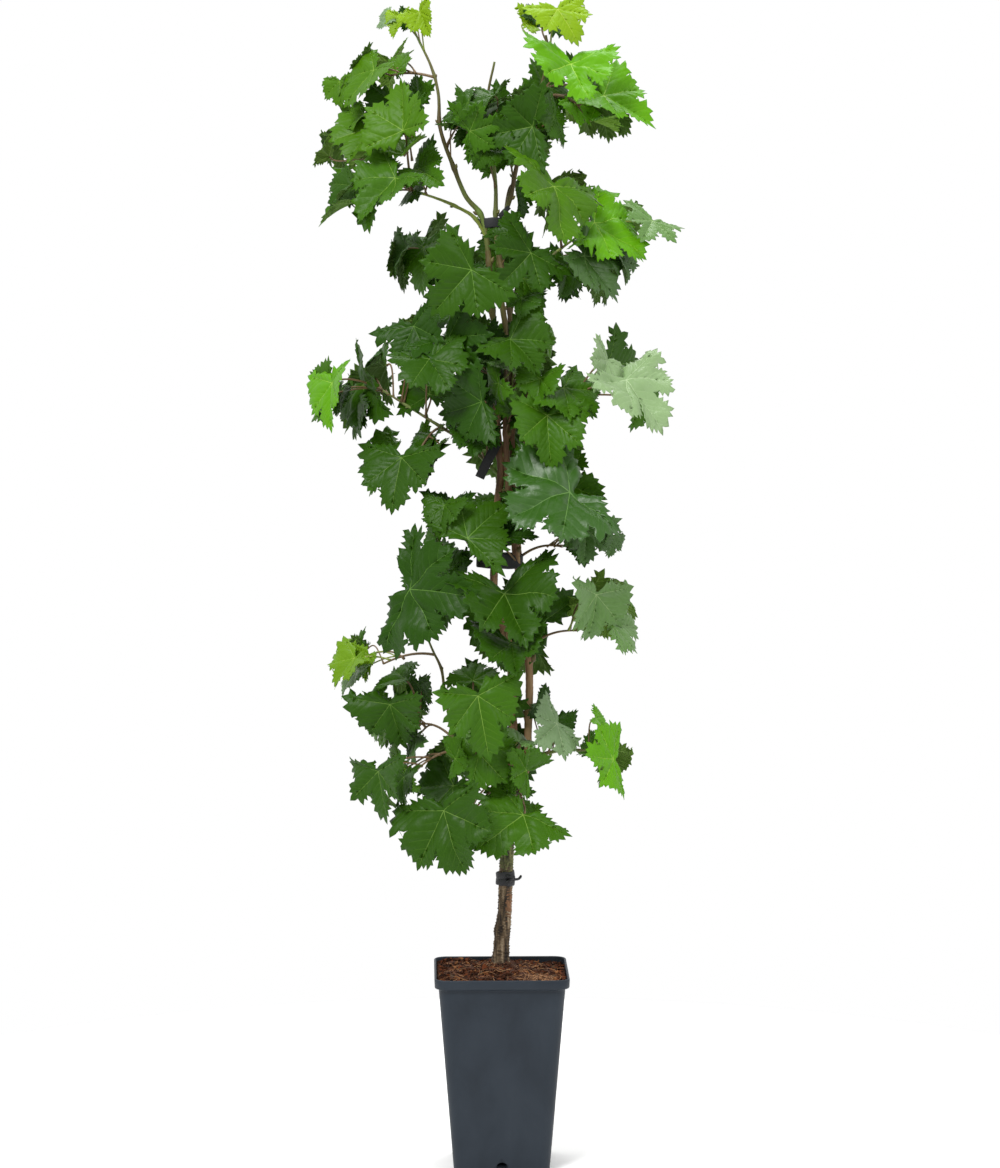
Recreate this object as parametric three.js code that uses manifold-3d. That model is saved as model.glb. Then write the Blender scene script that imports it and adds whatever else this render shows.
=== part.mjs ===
// Potted grapevine: a grafted trunk in a square nursery pot, three tall canes bound
// together with plastic ties, side shoots, and the leaves as separate uneven masses.
// Millimetres, +Z up, +X to the right, origin at the centre of the pot's underside.
import * as THREE from 'three';
import { mergeVertices } from 'three/addons/utils/BufferGeometryUtils.js';
import Module from 'manifold-3d';

const wasm = await Module();
wasm.setup();

// ---------------------------------------------------------------- driving sizes
const GAP = 0.4;                 // clearance between neighbouring solids

const POT_RIM = 150;             // across the flats, outside of the rolled rim
const POT_HEIGHT = 220;
const POT_BODY = 140.5;          // across the flats just under the rim
const POT_FOOT = 107;            // across the flats at the underside
const POT_RIM_DEPTH = 8;         // height of the rolled rim
const POT_STEP_DEPTH = 11.5;     // small step under the rim
const POT_WALL = 2.4;
const POT_FLOOR = 3;
const CORNER = 13;               // corner radius of the pot
const ARCH_WIDTH = 12.5;         // drain arch at the foot of each side
const ARCH_HEIGHT = 11;

const SOIL_CENTRE = 222;         // the mix is mounded round the trunk
const SOIL_EDGE = 214.5;

const TRUNK_CUT = 218;           // the flat cut at the trunk's foot
const TRUNK_FOOT_R = 10.6;
const TRUNK_R = 7.7;
const HEAD_R = 12.4;             // the knobbly head where the canes start

const CANE_SIDES = 8;
const PAD_SEGMENTS = 16;         // points round the outline of a leaf mass

// ---------------------------------------------------------------- materials
const finish = (color, roughness) => new THREE.MeshStandardMaterial({ color, roughness, metalness: 0 });
const POT_PLASTIC = finish(0x343c46, 0.42);
const MIX = finish(0x5a3420, 0.95);
const BARK = finish(0x5b4b3b, 0.9);
const CANE_BARK = finish(0x6a4a2c, 0.75);
const GREEN_CANE = finish(0x6d8a2e, 0.6);
const TIE_PLASTIC = finish(0x1b1b1d, 0.55);
const LEAF = finish(0x3f7a1c, 0.6);
const LEAF_YOUNG = finish(0x6fa326, 0.6);
const LEAF_SHADE = finish(0x28560f, 0.65);

// ---------------------------------------------------------------- helpers
const V = (p) => new THREE.Vector3(p[0], p[1], p[2]);

function random(seed) {
  let s = seed >>> 0;
  return () => {
    s = (s + 0x6d2b79f5) >>> 0;
    let t = s;
    t = Math.imul(t ^ (t >>> 15), t | 1);
    t ^= t + Math.imul(t ^ (t >>> 7), t | 61);
    return ((t ^ (t >>> 14)) >>> 0) / 4294967296;
  };
}

function seedOf(name) {
  let h = 2166136261;
  for (const c of name) h = Math.imul(h ^ c.charCodeAt(0), 16777619);
  return h >>> 0;
}

// only positions, shared corners, faces turned outwards
function tidy(geometry) {
  const g = geometry.clone();
  for (const name of Object.keys(g.attributes)) if (name !== 'position') g.deleteAttribute(name);
  const m = mergeVertices(g, 1e-4);
  const p = m.attributes.position, ix = m.index;
  const a = new THREE.Vector3(), b = new THREE.Vector3(), c = new THREE.Vector3();
  const keep = [];
  let volume = 0;
  for (let i = 0; i < ix.count; i += 3) {
    const [u, v, w] = [ix.getX(i), ix.getX(i + 1), ix.getX(i + 2)];
    if (u === v || v === w || u === w) continue;
    keep.push(u, v, w);
    a.fromBufferAttribute(p, u); b.fromBufferAttribute(p, v); c.fromBufferAttribute(p, w);
    volume += a.dot(b.cross(c));
  }
  if (volume < 0) for (let i = 0; i < keep.length; i += 3) [keep[i], keep[i + 1]] = [keep[i + 1], keep[i]];
  m.setIndex(keep);
  return m;
}

function grown(geometry, by) {
  const g = geometry.clone();
  g.computeVertexNormals();
  const p = g.attributes.position, n = g.attributes.normal;
  for (let i = 0; i < p.count; i++) {
    p.setXYZ(i, p.getX(i) + by * n.getX(i), p.getY(i) + by * n.getY(i), p.getZ(i) + by * n.getZ(i));
  }
  g.deleteAttribute('normal');
  return g;
}

function solid(geometry) {
  return new wasm.Manifold(new wasm.Mesh({
    numProp: 3,
    vertProperties: new Float32Array(geometry.attributes.position.array),
    triVerts: new Uint32Array(geometry.index.array),
  }));
}

function largest(manifold) {
  const pieces = manifold.decompose();
  pieces.sort((p, q) => q.volume() - p.volume());
  return pieces[0];
}

function geometryOf(manifold) {
  const mesh = manifold.getMesh();
  const g = new THREE.BufferGeometry();
  g.setAttribute('position', new THREE.BufferAttribute(new Float32Array(mesh.vertProperties), mesh.numProp));
  g.setIndex(new THREE.BufferAttribute(new Uint32Array(mesh.triVerts), 1));
  return g;
}

// ---------------------------------------------------------------- the assembly
const vine = new THREE.Group();
const placed = [];               // { name, keepOut: Manifold, box: Box3 }

function addMesh(name, geometry, material) {
  const g = geometry.clone();
  g.computeVertexNormals();
  const mesh = new THREE.Mesh(g, material);
  mesh.name = name;
  vine.add(mesh);
}

// Cuts a new piece clear of everything placed so far, keeps its main part and adds it.
function place(name, geometry, material) {
  const base = tidy(geometry);
  base.computeBoundingBox();
  let body = solid(base), cut = false;
  for (const other of placed) {
    if (!other.box.intersectsBox(base.boundingBox)) continue;
    if (body.intersect(other.keepOut).volume() < 1e-6) continue;
    body = body.subtract(other.keepOut);
    cut = true;
  }
  if (cut) {
    body = largest(body);
    if (body.simplify) body = body.simplify(0.05);
  }
  addMesh(name, cut ? geometryOf(body) : base, material);
  const wide = grown(base, GAP);
  wide.computeBoundingBox();
  placed.push({ name, keepOut: solid(wide), box: wide.boundingBox.clone() });
}

// ---------------------------------------------------------------- shapes
// A rounded square, walked by the vertices of a 32-sided turned shape.
function squareCorner(half, k, corner = CORNER) {
  const quadrant = Math.floor(k / 8), j = k % 8, c = Math.min(corner, half * 0.5), f = half - c;
  const steps = [
    [half, 0], [half, f * 0.55], [half, f],
    [f + c * Math.cos(Math.PI / 8), f + c * Math.sin(Math.PI / 8)],
    [f + c * Math.SQRT1_2, f + c * Math.SQRT1_2],
    [f + c * Math.sin(Math.PI / 8), f + c * Math.cos(Math.PI / 8)],
    [f, half], [f * 0.55, half],
  ];
  let [x, y] = steps[j];
  for (let q = 0; q < quadrant; q++) [x, y] = [-y, x];
  return [x, y];
}

// A profile of [half width, height] turned round +Z with a rounded-square section.
function squareTurned(profile, lift = () => 0) {
  const g = tidyLathe(profile.map(([r, z]) => new THREE.Vector2(r, z)), 32);
  const p = g.attributes.position;
  for (let i = 0; i < p.count; i++) {
    const r = Math.hypot(p.getX(i), p.getZ(i)), z = p.getY(i);
    const turn = Math.atan2(p.getX(i), p.getZ(i));
    const k = ((Math.round(turn / (Math.PI * 2) * 32) % 32) + 32) % 32;
    const [x, y] = r < 1e-6 ? [0, 0] : squareCorner(r, k);
    p.setXYZ(i, x, y, z + lift(x, y, z));
  }
  return g;
}

function tidyLathe(points, segments) {
  const g = new THREE.LatheGeometry(points, segments);
  g.deleteAttribute('normal');
  g.deleteAttribute('uv');
  return mergeVertices(g, 1e-5);
}

// A limb: a closed cylinder bent along a smooth curve, its radius a function of
// the distance along it (0 to 1) and of the direction round it.
function limb(points, radiusAt, sides, steps) {
  const curve = new THREE.CatmullRomCurve3(points.map(V), false, 'centripetal');
  curve.arcLengthDivisions = 400;
  const frames = curve.computeFrenetFrames(steps, false);
  const g = new THREE.CylinderGeometry(1, 1, 1, sides, steps, false);
  const p = g.attributes.position;
  for (let i = 0; i < p.count; i++) {
    const t = p.getY(i) + 0.5, s = Math.round(t * steps);
    const away = Math.hypot(p.getX(i), p.getZ(i)), turn = Math.atan2(p.getZ(i), p.getX(i));
    const r = away * radiusAt(t, turn);
    const c = curve.getPointAt(s / steps);
    c.addScaledVector(frames.normals[s], r * Math.cos(turn));
    c.addScaledVector(frames.binormals[s], r * Math.sin(turn));
    p.setXYZ(i, c.x, c.y, c.z);
  }
  return g;
}

const tapering = (r0, r1, swell = 0, count = 1) => (t) =>
  r0 + (r1 - r0) * t + swell * Math.pow(Math.abs(Math.cos(Math.PI * count * t)), 12);

// A leaf mass: a dished pad with an uneven lobed outline, stated by its centre, its
// half sizes (along, through, across), how far its long axis leans from +X to +Z, and
// its pitch: how far its far edge tips back towards +Y.
function leafMass(name, centre, [along, through, across], lean, pitch) {
  const rnd = random(seedOf(name));
  const [p1, p2, p3, p4] = [rnd(), rnd(), rnd(), rnd()].map((v) => v * Math.PI * 2);
  const lobes = 4 + Math.floor(rnd() * 3), dish = (rnd() - 0.35) * 0.9;
  const profile = [[0, -0.92], [0.62, -0.86], [1, 0], [0.62, 0.86], [0, 0.92]];
  const g = tidyLathe(profile.map(([r, y]) => new THREE.Vector2(r, y)), PAD_SEGMENTS);
  const p = g.attributes.position;
  const box = new THREE.Box3();
  for (let i = 0; i < p.count; i++) {
    const r = Math.hypot(p.getX(i), p.getZ(i)), turn = Math.atan2(p.getZ(i), p.getX(i));
    const edge = 1 + 0.10 * Math.cos(lobes * turn + p1) + 0.07 * Math.cos(3 * turn + p2)
      + 0.04 * Math.cos(2 * turn + p3);
    const thick = p.getY(i) * (1 + 0.18 * Math.cos(2 * turn + p4));
    p.setXYZ(i, r * edge * Math.cos(turn), thick + dish * (0.5 - r * r), r * edge * Math.sin(turn));
    box.expandByPoint(new THREE.Vector3().fromBufferAttribute(p, i));
  }
  const size = box.getSize(new THREE.Vector3()), mid = box.getCenter(new THREE.Vector3());
  const a = THREE.MathUtils.degToRad(lean), tip = THREE.MathUtils.degToRad(pitch);
  for (let i = 0; i < p.count; i++) {
    const u = (p.getX(i) - mid.x) / size.x * 2 * along;
    const v = (p.getY(i) - mid.y) / size.y * 2 * through;
    const w = (p.getZ(i) - mid.z) / size.z * 2 * across;
    const up = w * Math.cos(tip) - v * Math.sin(tip), back = w * Math.sin(tip) + v * Math.cos(tip);
    p.setXYZ(i, centre[0] + u * Math.cos(a) - up * Math.sin(a), centre[1] + back,
      centre[2] + u * Math.sin(a) + up * Math.cos(a));
  }
  return g;
}

// A plastic tie: an oval band round the canes.
function band([x, y, z], halfWide, halfDeep, wall, tall, tilt) {
  const oval = (a, b) => {
    const pts = [];
    for (let i = 0; i < 20; i++) {
      const t = i / 20 * Math.PI * 2, c = Math.cos(t), s = Math.sin(t);
      pts.push(new THREE.Vector2(a * Math.sign(c) * Math.pow(Math.abs(c), 0.7), b * Math.sign(s) * Math.pow(Math.abs(s), 0.7)));
    }
    return pts;
  };
  const shape = new THREE.Shape(oval(halfWide, halfDeep));
  shape.holes.push(new THREE.Path(oval(halfWide - wall, halfDeep - wall).reverse()));
  const g = new THREE.ExtrudeGeometry(shape, { depth: tall, bevelEnabled: false, steps: 1 });
  g.translate(0, 0, -tall / 2);
  g.rotateY(THREE.MathUtils.degToRad(tilt));
  g.translate(x, y, z);
  return g;
}

// ---------------------------------------------------------------- pot and mix
const f = POT_FOOT / 2, b = POT_BODY / 2, r = POT_RIM / 2;
const wallAt = (z) => f + (b - f) * Math.min(1, z / (POT_HEIGHT - POT_STEP_DEPTH));
const potProfile = [
  [0, 0], [f, 0], [wallAt(70), 70], [wallAt(140), 140], [b, POT_HEIGHT - POT_STEP_DEPTH],
  [b + 1.6, POT_HEIGHT - POT_STEP_DEPTH + 0.8], [b + 1.8, POT_HEIGHT - POT_RIM_DEPTH],
  [r - 1.2, POT_HEIGHT - POT_RIM_DEPTH + 0.4], [r, POT_HEIGHT - 0.8], [r - 0.8, POT_HEIGHT],
  [r - 3.2, POT_HEIGHT], [b - POT_WALL + 0.6, POT_HEIGHT - POT_STEP_DEPTH],
  [wallAt(140) - POT_WALL, 140], [wallAt(70) - POT_WALL, 70], [wallAt(POT_FLOOR) - POT_WALL, POT_FLOOR],
  [0, POT_FLOOR],
];
{
  let pot = solid(tidy(squareTurned(potProfile)));
  const arch = new THREE.Shape();
  arch.moveTo(-ARCH_WIDTH / 2, -2);
  arch.lineTo(ARCH_WIDTH / 2, -2);
  arch.lineTo(ARCH_WIDTH / 2, ARCH_HEIGHT - ARCH_WIDTH / 2);
  arch.absarc(0, ARCH_HEIGHT - ARCH_WIDTH / 2, ARCH_WIDTH / 2, 0, Math.PI, false);
  arch.closePath();
  for (let side = 0; side < 4; side++) {
    const g = new THREE.ExtrudeGeometry(arch, { depth: 5, bevelEnabled: false, curveSegments: 8 });
    g.rotateX(Math.PI / 2);
    g.translate(0, -(f - 3.4), 0);
    g.rotateZ(side * Math.PI / 2);
    pot = pot.subtract(solid(tidy(g)));
  }
  addMesh('pot', geometryOf(pot), POT_PLASTIC);
}

const soilProfile = [
  [0, POT_FLOOR + GAP], [wallAt(POT_FLOOR) - POT_WALL - GAP * 1.6, POT_FLOOR + GAP],
  [wallAt(70) - POT_WALL - GAP, 70], [wallAt(140) - POT_WALL - GAP, 140],
  [b - POT_WALL + 0.6 - GAP * 1.5, POT_HEIGHT - POT_STEP_DEPTH], [b - POT_WALL + 0.4, SOIL_EDGE],
  [b * 0.7, SOIL_EDGE + 3.5], [b * 0.42, SOIL_CENTRE - 2.5], [b * 0.2, SOIL_CENTRE], [0, SOIL_CENTRE],
];
const soilLift = (x, y, z) => {
  if (z < SOIL_EDGE - 0.1) return 0;
  const backRight = Math.max(0, (x + y) / (2 * b) - 0.25);
  return 1.3 * Math.sin(x * 0.09 + 1) * Math.cos(y * 0.08) * Math.min(1, Math.hypot(x, y) / 30) - 5.5 * backRight;
};

// ---------------------------------------------------------------- trunk and canes
const TRUNK_PATH = [
  [0, 10, TRUNK_CUT], [0, 10, 232], [1, 10, 248], [3, 10, 268], [4.5, 9, 289], [5, 8, 310],
  [6, 8, 335], [7, 7, 359], [8.5, 6, 387], [11, 4, 410], [11.5, 2, 427], [11.5, 2, 438],
];
const trunkRadius = (t, turn) => {
  const flare = (TRUNK_FOOT_R - TRUNK_R + 1.6) * Math.exp(-t * 11);
  const head = (HEAD_R - TRUNK_R) * Math.exp(-Math.pow((t - 0.9) / 0.1, 2));
  const dome = t > 0.95 ? (t - 0.95) / 0.05 * 4.6 : 0;
  const knobs = 0.5 * Math.cos(3 * turn + 9 * t) + 0.35 * Math.cos(2 * turn - 23 * t);
  const burr = 1.4 * Math.exp(-Math.pow((t - 0.3) / 0.03, 2)) * Math.max(0, Math.cos(turn));
  return TRUNK_R + 0.9 * t + flare + head - dome + knobs + burr;
};
place('trunk', limb(TRUNK_PATH, trunkRadius, 12, 18), BARK);

// The flat cut is horizontal, so the limb's first ring lies in one plane at TRUNK_CUT.
place('growing_medium', squareTurned(soilProfile, soilLift), MIX);

const CANES = [
  { name: 'cane_left', base: 4.6, tip: 1.5, steps: 30, material: CANE_BARK, path: [
    [6, 0, 428], [13, -2, 478], [12, -4, 535], [8, -5, 585], [-2, -5, 616], [-8, -5, 650], [-7, -5, 691],
    [-4, -5, 736], [-1, -5, 780], [-4, -5, 824], [-5, -6, 869], [-5, -6, 918], [-12, -6, 979],
    [-16, -6, 1034], [-22, -6, 1062], [-39, -8, 1082], [-54, -10, 1116], [-66, -10, 1154],
    [-69, -8, 1192], [-78, -6, 1225], [-91, -5, 1254], [-98, -5, 1272]] },
  { name: 'cane_right', base: 4.3, tip: 1.3, steps: 28, material: GREEN_CANE, path: [
    [17, 6, 424], [29, 8, 449], [30, 8, 477], [32, 8, 522], [30, 8, 567], [23, 7, 623], [20, 6, 662],
    [18, 6, 701], [14, 6, 746], [12, 6, 813], [10, 6, 857], [12, 6, 890], [9, 6, 923], [2, 7, 956],
    [-3, 7, 990], [-1, 7, 1028], [2, 6, 1053], [10, 4, 1083], [19, 2, 1121], [32, 0, 1171],
    [44, 0, 1203], [53, 0, 1236], [50, 0, 1258]] },
  { name: 'cane_middle', base: 3.4, tip: 1.2, steps: 22, material: GREEN_CANE, path: [
    [21, 5, 652], [17, -5, 680], [14, -8, 700], [10, -9, 747], [5, -9, 802], [5, -9, 847], [7, -9, 902],
    [10, -9, 935], [6, -9, 979], [-3, -7, 1023], [-7, -4, 1053], [-6, 0, 1089], [-8, 4, 1132],
    [-11, 6, 1165], [-15, 6, 1193], [-8, 4, 1229]] },
];
for (const cane of CANES) {
  place(cane.name, limb(cane.path, tapering(cane.base, cane.tip, 0.5, 12), CANE_SIDES, cane.steps), cane.material);
}

// ---------------------------------------------------------------- ties
place('tie_foot', band([4.9, 8.3, 321], 11.4, 11.4, 1.6, 16, 4), TIE_PLASTIC);
place('tie_middle', band([0.6, 0, 679], 26, 12.6, 1.3, 16, -2), TIE_PLASTIC);
place('tie_top', band([-7.6, 0, 1053], 17.6, 11.2, 1.2, 10, 3), TIE_PLASTIC);

// ---------------------------------------------------------------- leaf masses
// name, centre, half sizes (along, through, across), lean and pitch in degrees, colour
const MASSES = [
  ['foot_left', [-54, -78, 390], [58, 11, 48], -85, -18, LEAF],
  ['foot_right', [15, -58, 390], [39, 10, 33], -80, -20, LEAF],
  ['low_left_tail', [-126, -30, 432], [39, 8, 33], 80, 25, LEAF],
  ['low_left_elbow', [-114, 6, 504], [51, 9, 45], -80, 28, LEAF],
  ['low_left_tip', [-166, 28, 559], [34, 7, 30], 30, 45, LEAF_YOUNG],
  ['low_front', [-21, -72, 525], [47, 10, 37], 90, 25, LEAF],
  ['low_core', [-9, -44, 465], [41, 9, 36], 0, 40, LEAF],
  ['low_right_drop', [55, -36, 493], [34, 7, 31], -62, 50, LEAF],
  ['low_right_sprig', [114, -12, 464], [41, 7, 31], -75, -52, LEAF_YOUNG],
  ['mid_left_broad', [-85, -74, 653], [57, 10, 52], -20, -14, LEAF],
  ['mid_front_broad', [10, -98, 614], [59, 11, 52], 20, 12, LEAF],
  ['mid_right_outer', [113, -18, 613], [51, 8, 42], -45, -32, LEAF],
  ['mid_right_broad', [54, -92, 758], [58, 11, 52], 0, 16, LEAF],
  ['mid_right_low', [96, -44, 705], [35, 7, 33], -8, 58, LEAF],
  ['mid_left_fan', [-112, -12, 781], [60, 8, 45], 35, 45, LEAF_SHADE],
  ['mid_core', [-28, -46, 724], [55, 8, 38], -5, 42, LEAF_SHADE],
  ['left_wing_outer', [-192, -16, 859], [40, 7, 38], 65, 60, LEAF],
  ['left_wing_inner', [-149, 34, 858], [52, 8, 38], 65, -50, LEAF],
  ['left_shoulder_low', [-72, -66, 884], [39, 9, 32], 0, 28, LEAF],
  ['core_left', [-32, -50, 846], [40, 9, 33], 90, 30, LEAF_SHADE],
  ['core_upper_left', [-55, -34, 921], [55, 9, 39], -8, 40, LEAF_SHADE],
  ['core_upper_right', [20, -44, 913], [34, 9, 32], 0, 35, LEAF_SHADE],
  ['core_right', [54, -44, 842], [58, 10, 52], 90, 22, LEAF],
  ['right_wing', [142, -42, 870], [58, 8, 40], -25, 35, LEAF],
  ['shoulder_left', [-91, 38, 1009], [45, 8, 44], 42, -42, LEAF_SHADE],
  ['shoulder_front', [-46, -72, 987], [46, 10, 44], 0, 24, LEAF],
  ['shoulder_core', [19, -46, 1008], [44, 9, 31], -65, -35, LEAF_SHADE],
  ['shoulder_right', [103, -10, 996], [48, 8, 41], -8, 35, LEAF],
  ['top_right_arm', [131, 26, 1046], [53, 7, 43], -8, 62, LEAF_YOUNG],
  ['top_right_hang', [51, -64, 1081], [46, 9, 42], -40, -38, LEAF_YOUNG],
  ['top_right_crest', [71, -22, 1212], [52, 8, 43], 0, 50, LEAF_YOUNG],
  ['top_right_shoulder', [117, 28, 1180], [50, 8, 40], -8, -50, LEAF_YOUNG],
  ['top_core', [5, -30, 1155], [56, 9, 44], 0, 32, LEAF],
  ['top_left_large', [-126, -34, 1088], [77, 8, 46], 20, 55, LEAF],
  ['top_left_mid', [-159, 34, 1144], [45, 7, 44], 45, -52, LEAF],
  ['top_left_broad', [-105, -46, 1168], [48, 9, 39], 80, 28, LEAF],
  ['top_left_spike', [-149, 12, 1214], [58, 6, 33], 25, 60, LEAF_YOUNG],
  ['crown_tip_left', [-98, -5, 1270], [39, 6, 33], 0, 60, LEAF_YOUNG],
  ['crown_tip_right', [62, 4, 1277], [51, 6, 40], -5, -60, LEAF_YOUNG],
  ['back_foot', [-16, 64, 467], [47, 11, 43], 90, -28, LEAF_SHADE],
  ['back_low', [4, 88, 590], [52, 12, 52], 0, -30, LEAF_SHADE],
  ['back_middle', [40, 94, 774], [54, 12, 52], 0, -30, LEAF_SHADE],
  ['back_core', [-8, 92, 896], [59, 12, 52], 0, -32, LEAF_SHADE],
  ['back_shoulder', [9, 86, 1013], [50, 12, 52], 0, -34, LEAF_SHADE],
  ['back_crown', [13, 62, 1164], [50, 11, 52], 0, -36, LEAF_SHADE],
];
for (const [name, centre, half, lean, pitch, material] of MASSES) {
  place('leaves_' + name, leafMass(name, centre, half, lean, pitch), material);
}

// ---------------------------------------------------------------- side shoots
// Each springs from a cane or the trunk's head and ends where it enters a mass.
const SHOOTS = [
  { name: 'shoot_low_left', base: 2.4, tip: 1.1, steps: 14, path: [
    [2, -4, 431], [-24, -12, 458], [-47, -10, 467], [-55, -8, 485], [-61, -4, 524], [-67, -2, 557],
    [-76, -2, 579], [-84, -6, 602], [-89, -16, 624]] },
  { name: 'shoot_low_right', base: 1.8, tip: 1.0, steps: 8, path: [
    [30, 7, 457], [49, 0, 463], [71, -6, 467], [97, -12, 468]] },
  { name: 'shoot_mid_left', base: 1.9, tip: 1.0, steps: 10, path: [
    [-1, -5, 771], [-20, -4, 792], [-43, 0, 813], [-67, 4, 827], [-101, 12, 849], [-132, 18, 867]] },
  { name: 'shoot_high_left', base: 1.9, tip: 1.1, steps: 9, path: [
    [-16, -6, 1034], [-30, -9, 1058], [-48, -13, 1070], [-67, -16, 1078], [-98, -20, 1088]] },
  { name: 'shoot_high_right', base: 1.9, tip: 1.0, steps: 10, path: [
    [2, 7, 956], [27, 10, 981], [44, 12, 1001], [54, 12, 1014], [68, 12, 1026], [88, 12, 1040]] },
];
for (const shoot of SHOOTS) {
  place(shoot.name, limb(shoot.path, tapering(shoot.base, shoot.tip, 0.25, 5), 7, shoot.steps), GREEN_CANE);
}

export default vine;
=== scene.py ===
import math

import bpy
import numpy as np
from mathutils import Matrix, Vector
from mathutils.geometry import delaunay_2d_cdt


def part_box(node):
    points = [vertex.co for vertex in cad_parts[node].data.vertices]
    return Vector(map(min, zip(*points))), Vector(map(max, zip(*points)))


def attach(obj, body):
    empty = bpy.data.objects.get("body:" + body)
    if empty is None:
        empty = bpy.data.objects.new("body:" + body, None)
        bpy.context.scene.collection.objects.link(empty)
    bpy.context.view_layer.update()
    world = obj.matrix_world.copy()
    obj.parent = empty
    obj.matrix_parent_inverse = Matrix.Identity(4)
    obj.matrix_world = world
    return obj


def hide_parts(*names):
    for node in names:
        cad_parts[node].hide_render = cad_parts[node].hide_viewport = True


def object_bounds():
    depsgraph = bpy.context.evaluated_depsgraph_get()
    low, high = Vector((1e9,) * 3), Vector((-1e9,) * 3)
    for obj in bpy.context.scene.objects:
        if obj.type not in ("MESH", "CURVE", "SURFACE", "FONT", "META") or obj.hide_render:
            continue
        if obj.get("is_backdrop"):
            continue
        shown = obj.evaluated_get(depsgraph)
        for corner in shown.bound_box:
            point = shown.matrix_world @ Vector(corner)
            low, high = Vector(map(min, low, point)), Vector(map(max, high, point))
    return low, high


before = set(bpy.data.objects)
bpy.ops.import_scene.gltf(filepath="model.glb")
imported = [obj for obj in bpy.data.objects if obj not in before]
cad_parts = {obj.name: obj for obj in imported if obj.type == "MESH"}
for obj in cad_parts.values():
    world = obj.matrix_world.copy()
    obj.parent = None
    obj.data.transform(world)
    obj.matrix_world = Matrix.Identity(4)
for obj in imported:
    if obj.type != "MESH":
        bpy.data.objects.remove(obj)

cad_low, cad_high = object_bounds()
MM = 0.001
UP = np.array([0.0, 0.0, 1.0])


def unit(v):
    v = np.asarray(v, float)
    return v / max(np.linalg.norm(v), 1e-12)


def turn(v, axis, angle):
    """v turned about a unit axis."""
    c, s = math.cos(angle), math.sin(angle)
    return v * c + np.cross(axis, v) * s + axis * np.dot(axis, v) * (1 - c)


def linear(rgb):
    """A colour as a paint chart gives it (0 to 255), in linear light."""
    return tuple((c / 255 / 12.92) if c / 255 <= 0.04045 else ((c / 255 + 0.055) / 1.055) ** 2.4 for c in rgb)


# ---------------------------------------------------------------- camera

AZIMUTH, PITCH, DISTANCE, EYE = math.radians(-1.1), math.radians(5.26), 4.5, 1.067
camera_data = bpy.data.cameras.new("camera")
camera_data.sensor_width = 36
camera_data.lens = 125.3
camera = bpy.data.objects.new("camera", camera_data)
bpy.context.scene.collection.objects.link(camera)
camera.location = (
    math.sin(AZIMUTH) * DISTANCE - 0.0012,
    -math.cos(AZIMUTH) * DISTANCE,
    EYE,
)
camera.rotation_euler = (math.pi / 2 - PITCH, 0, AZIMUTH)
bpy.context.scene.camera = camera

# ---------------------------------------------------------------- materials


def material(name, colour, rough=0.5, rough_spread=0.12, scale=60.0, bump=0.3, depth=0.0006, detail=6.0, stretch=(1, 1, 1), specular=0.5, sheen=0.0, kind="noise"):
    """A plain coloured finish with grain in its roughness and relief."""
    m = bpy.data.materials.new(name)
    m.use_nodes = True
    nt = m.node_tree
    nt.nodes.clear()
    out = nt.nodes.new("ShaderNodeOutputMaterial")
    bsdf = nt.nodes.new("ShaderNodeBsdfPrincipled")
    nt.links.new(bsdf.outputs[0], out.inputs[0])
    bsdf.inputs["Base Color"].default_value = (*linear(colour), 1)
    bsdf.inputs["Specular IOR Level"].default_value = specular
    if sheen:
        bsdf.inputs["Sheen Weight"].default_value = sheen
        bsdf.inputs["Sheen Roughness"].default_value = 0.5
    place = nt.nodes.new("ShaderNodeTexCoord")
    mapping = nt.nodes.new("ShaderNodeMapping")
    mapping.inputs["Scale"].default_value = stretch
    nt.links.new(place.outputs["Object"], mapping.inputs["Vector"])
    if kind == "cells":
        grain = nt.nodes.new("ShaderNodeTexVoronoi")
        grain.feature = "SMOOTH_F1"
        grain.inputs["Scale"].default_value = scale
        height = grain.outputs["Distance"]
    else:
        grain = nt.nodes.new("ShaderNodeTexNoise")
        grain.inputs["Scale"].default_value = scale
        grain.inputs["Detail"].default_value = detail
        height = grain.outputs["Fac"]
    nt.links.new(mapping.outputs[0], grain.inputs["Vector"])
    span = nt.nodes.new("ShaderNodeMapRange")
    span.inputs["To Min"].default_value = rough - rough_spread
    span.inputs["To Max"].default_value = rough + rough_spread
    nt.links.new(height, span.inputs["Value"])
    nt.links.new(span.outputs[0], bsdf.inputs["Roughness"])
    relief = nt.nodes.new("ShaderNodeBump")
    relief.inputs["Strength"].default_value = bump
    relief.inputs["Distance"].default_value = depth
    nt.links.new(height, relief.inputs["Height"])
    nt.links.new(relief.outputs[0], bsdf.inputs["Normal"])
    return m


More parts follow.
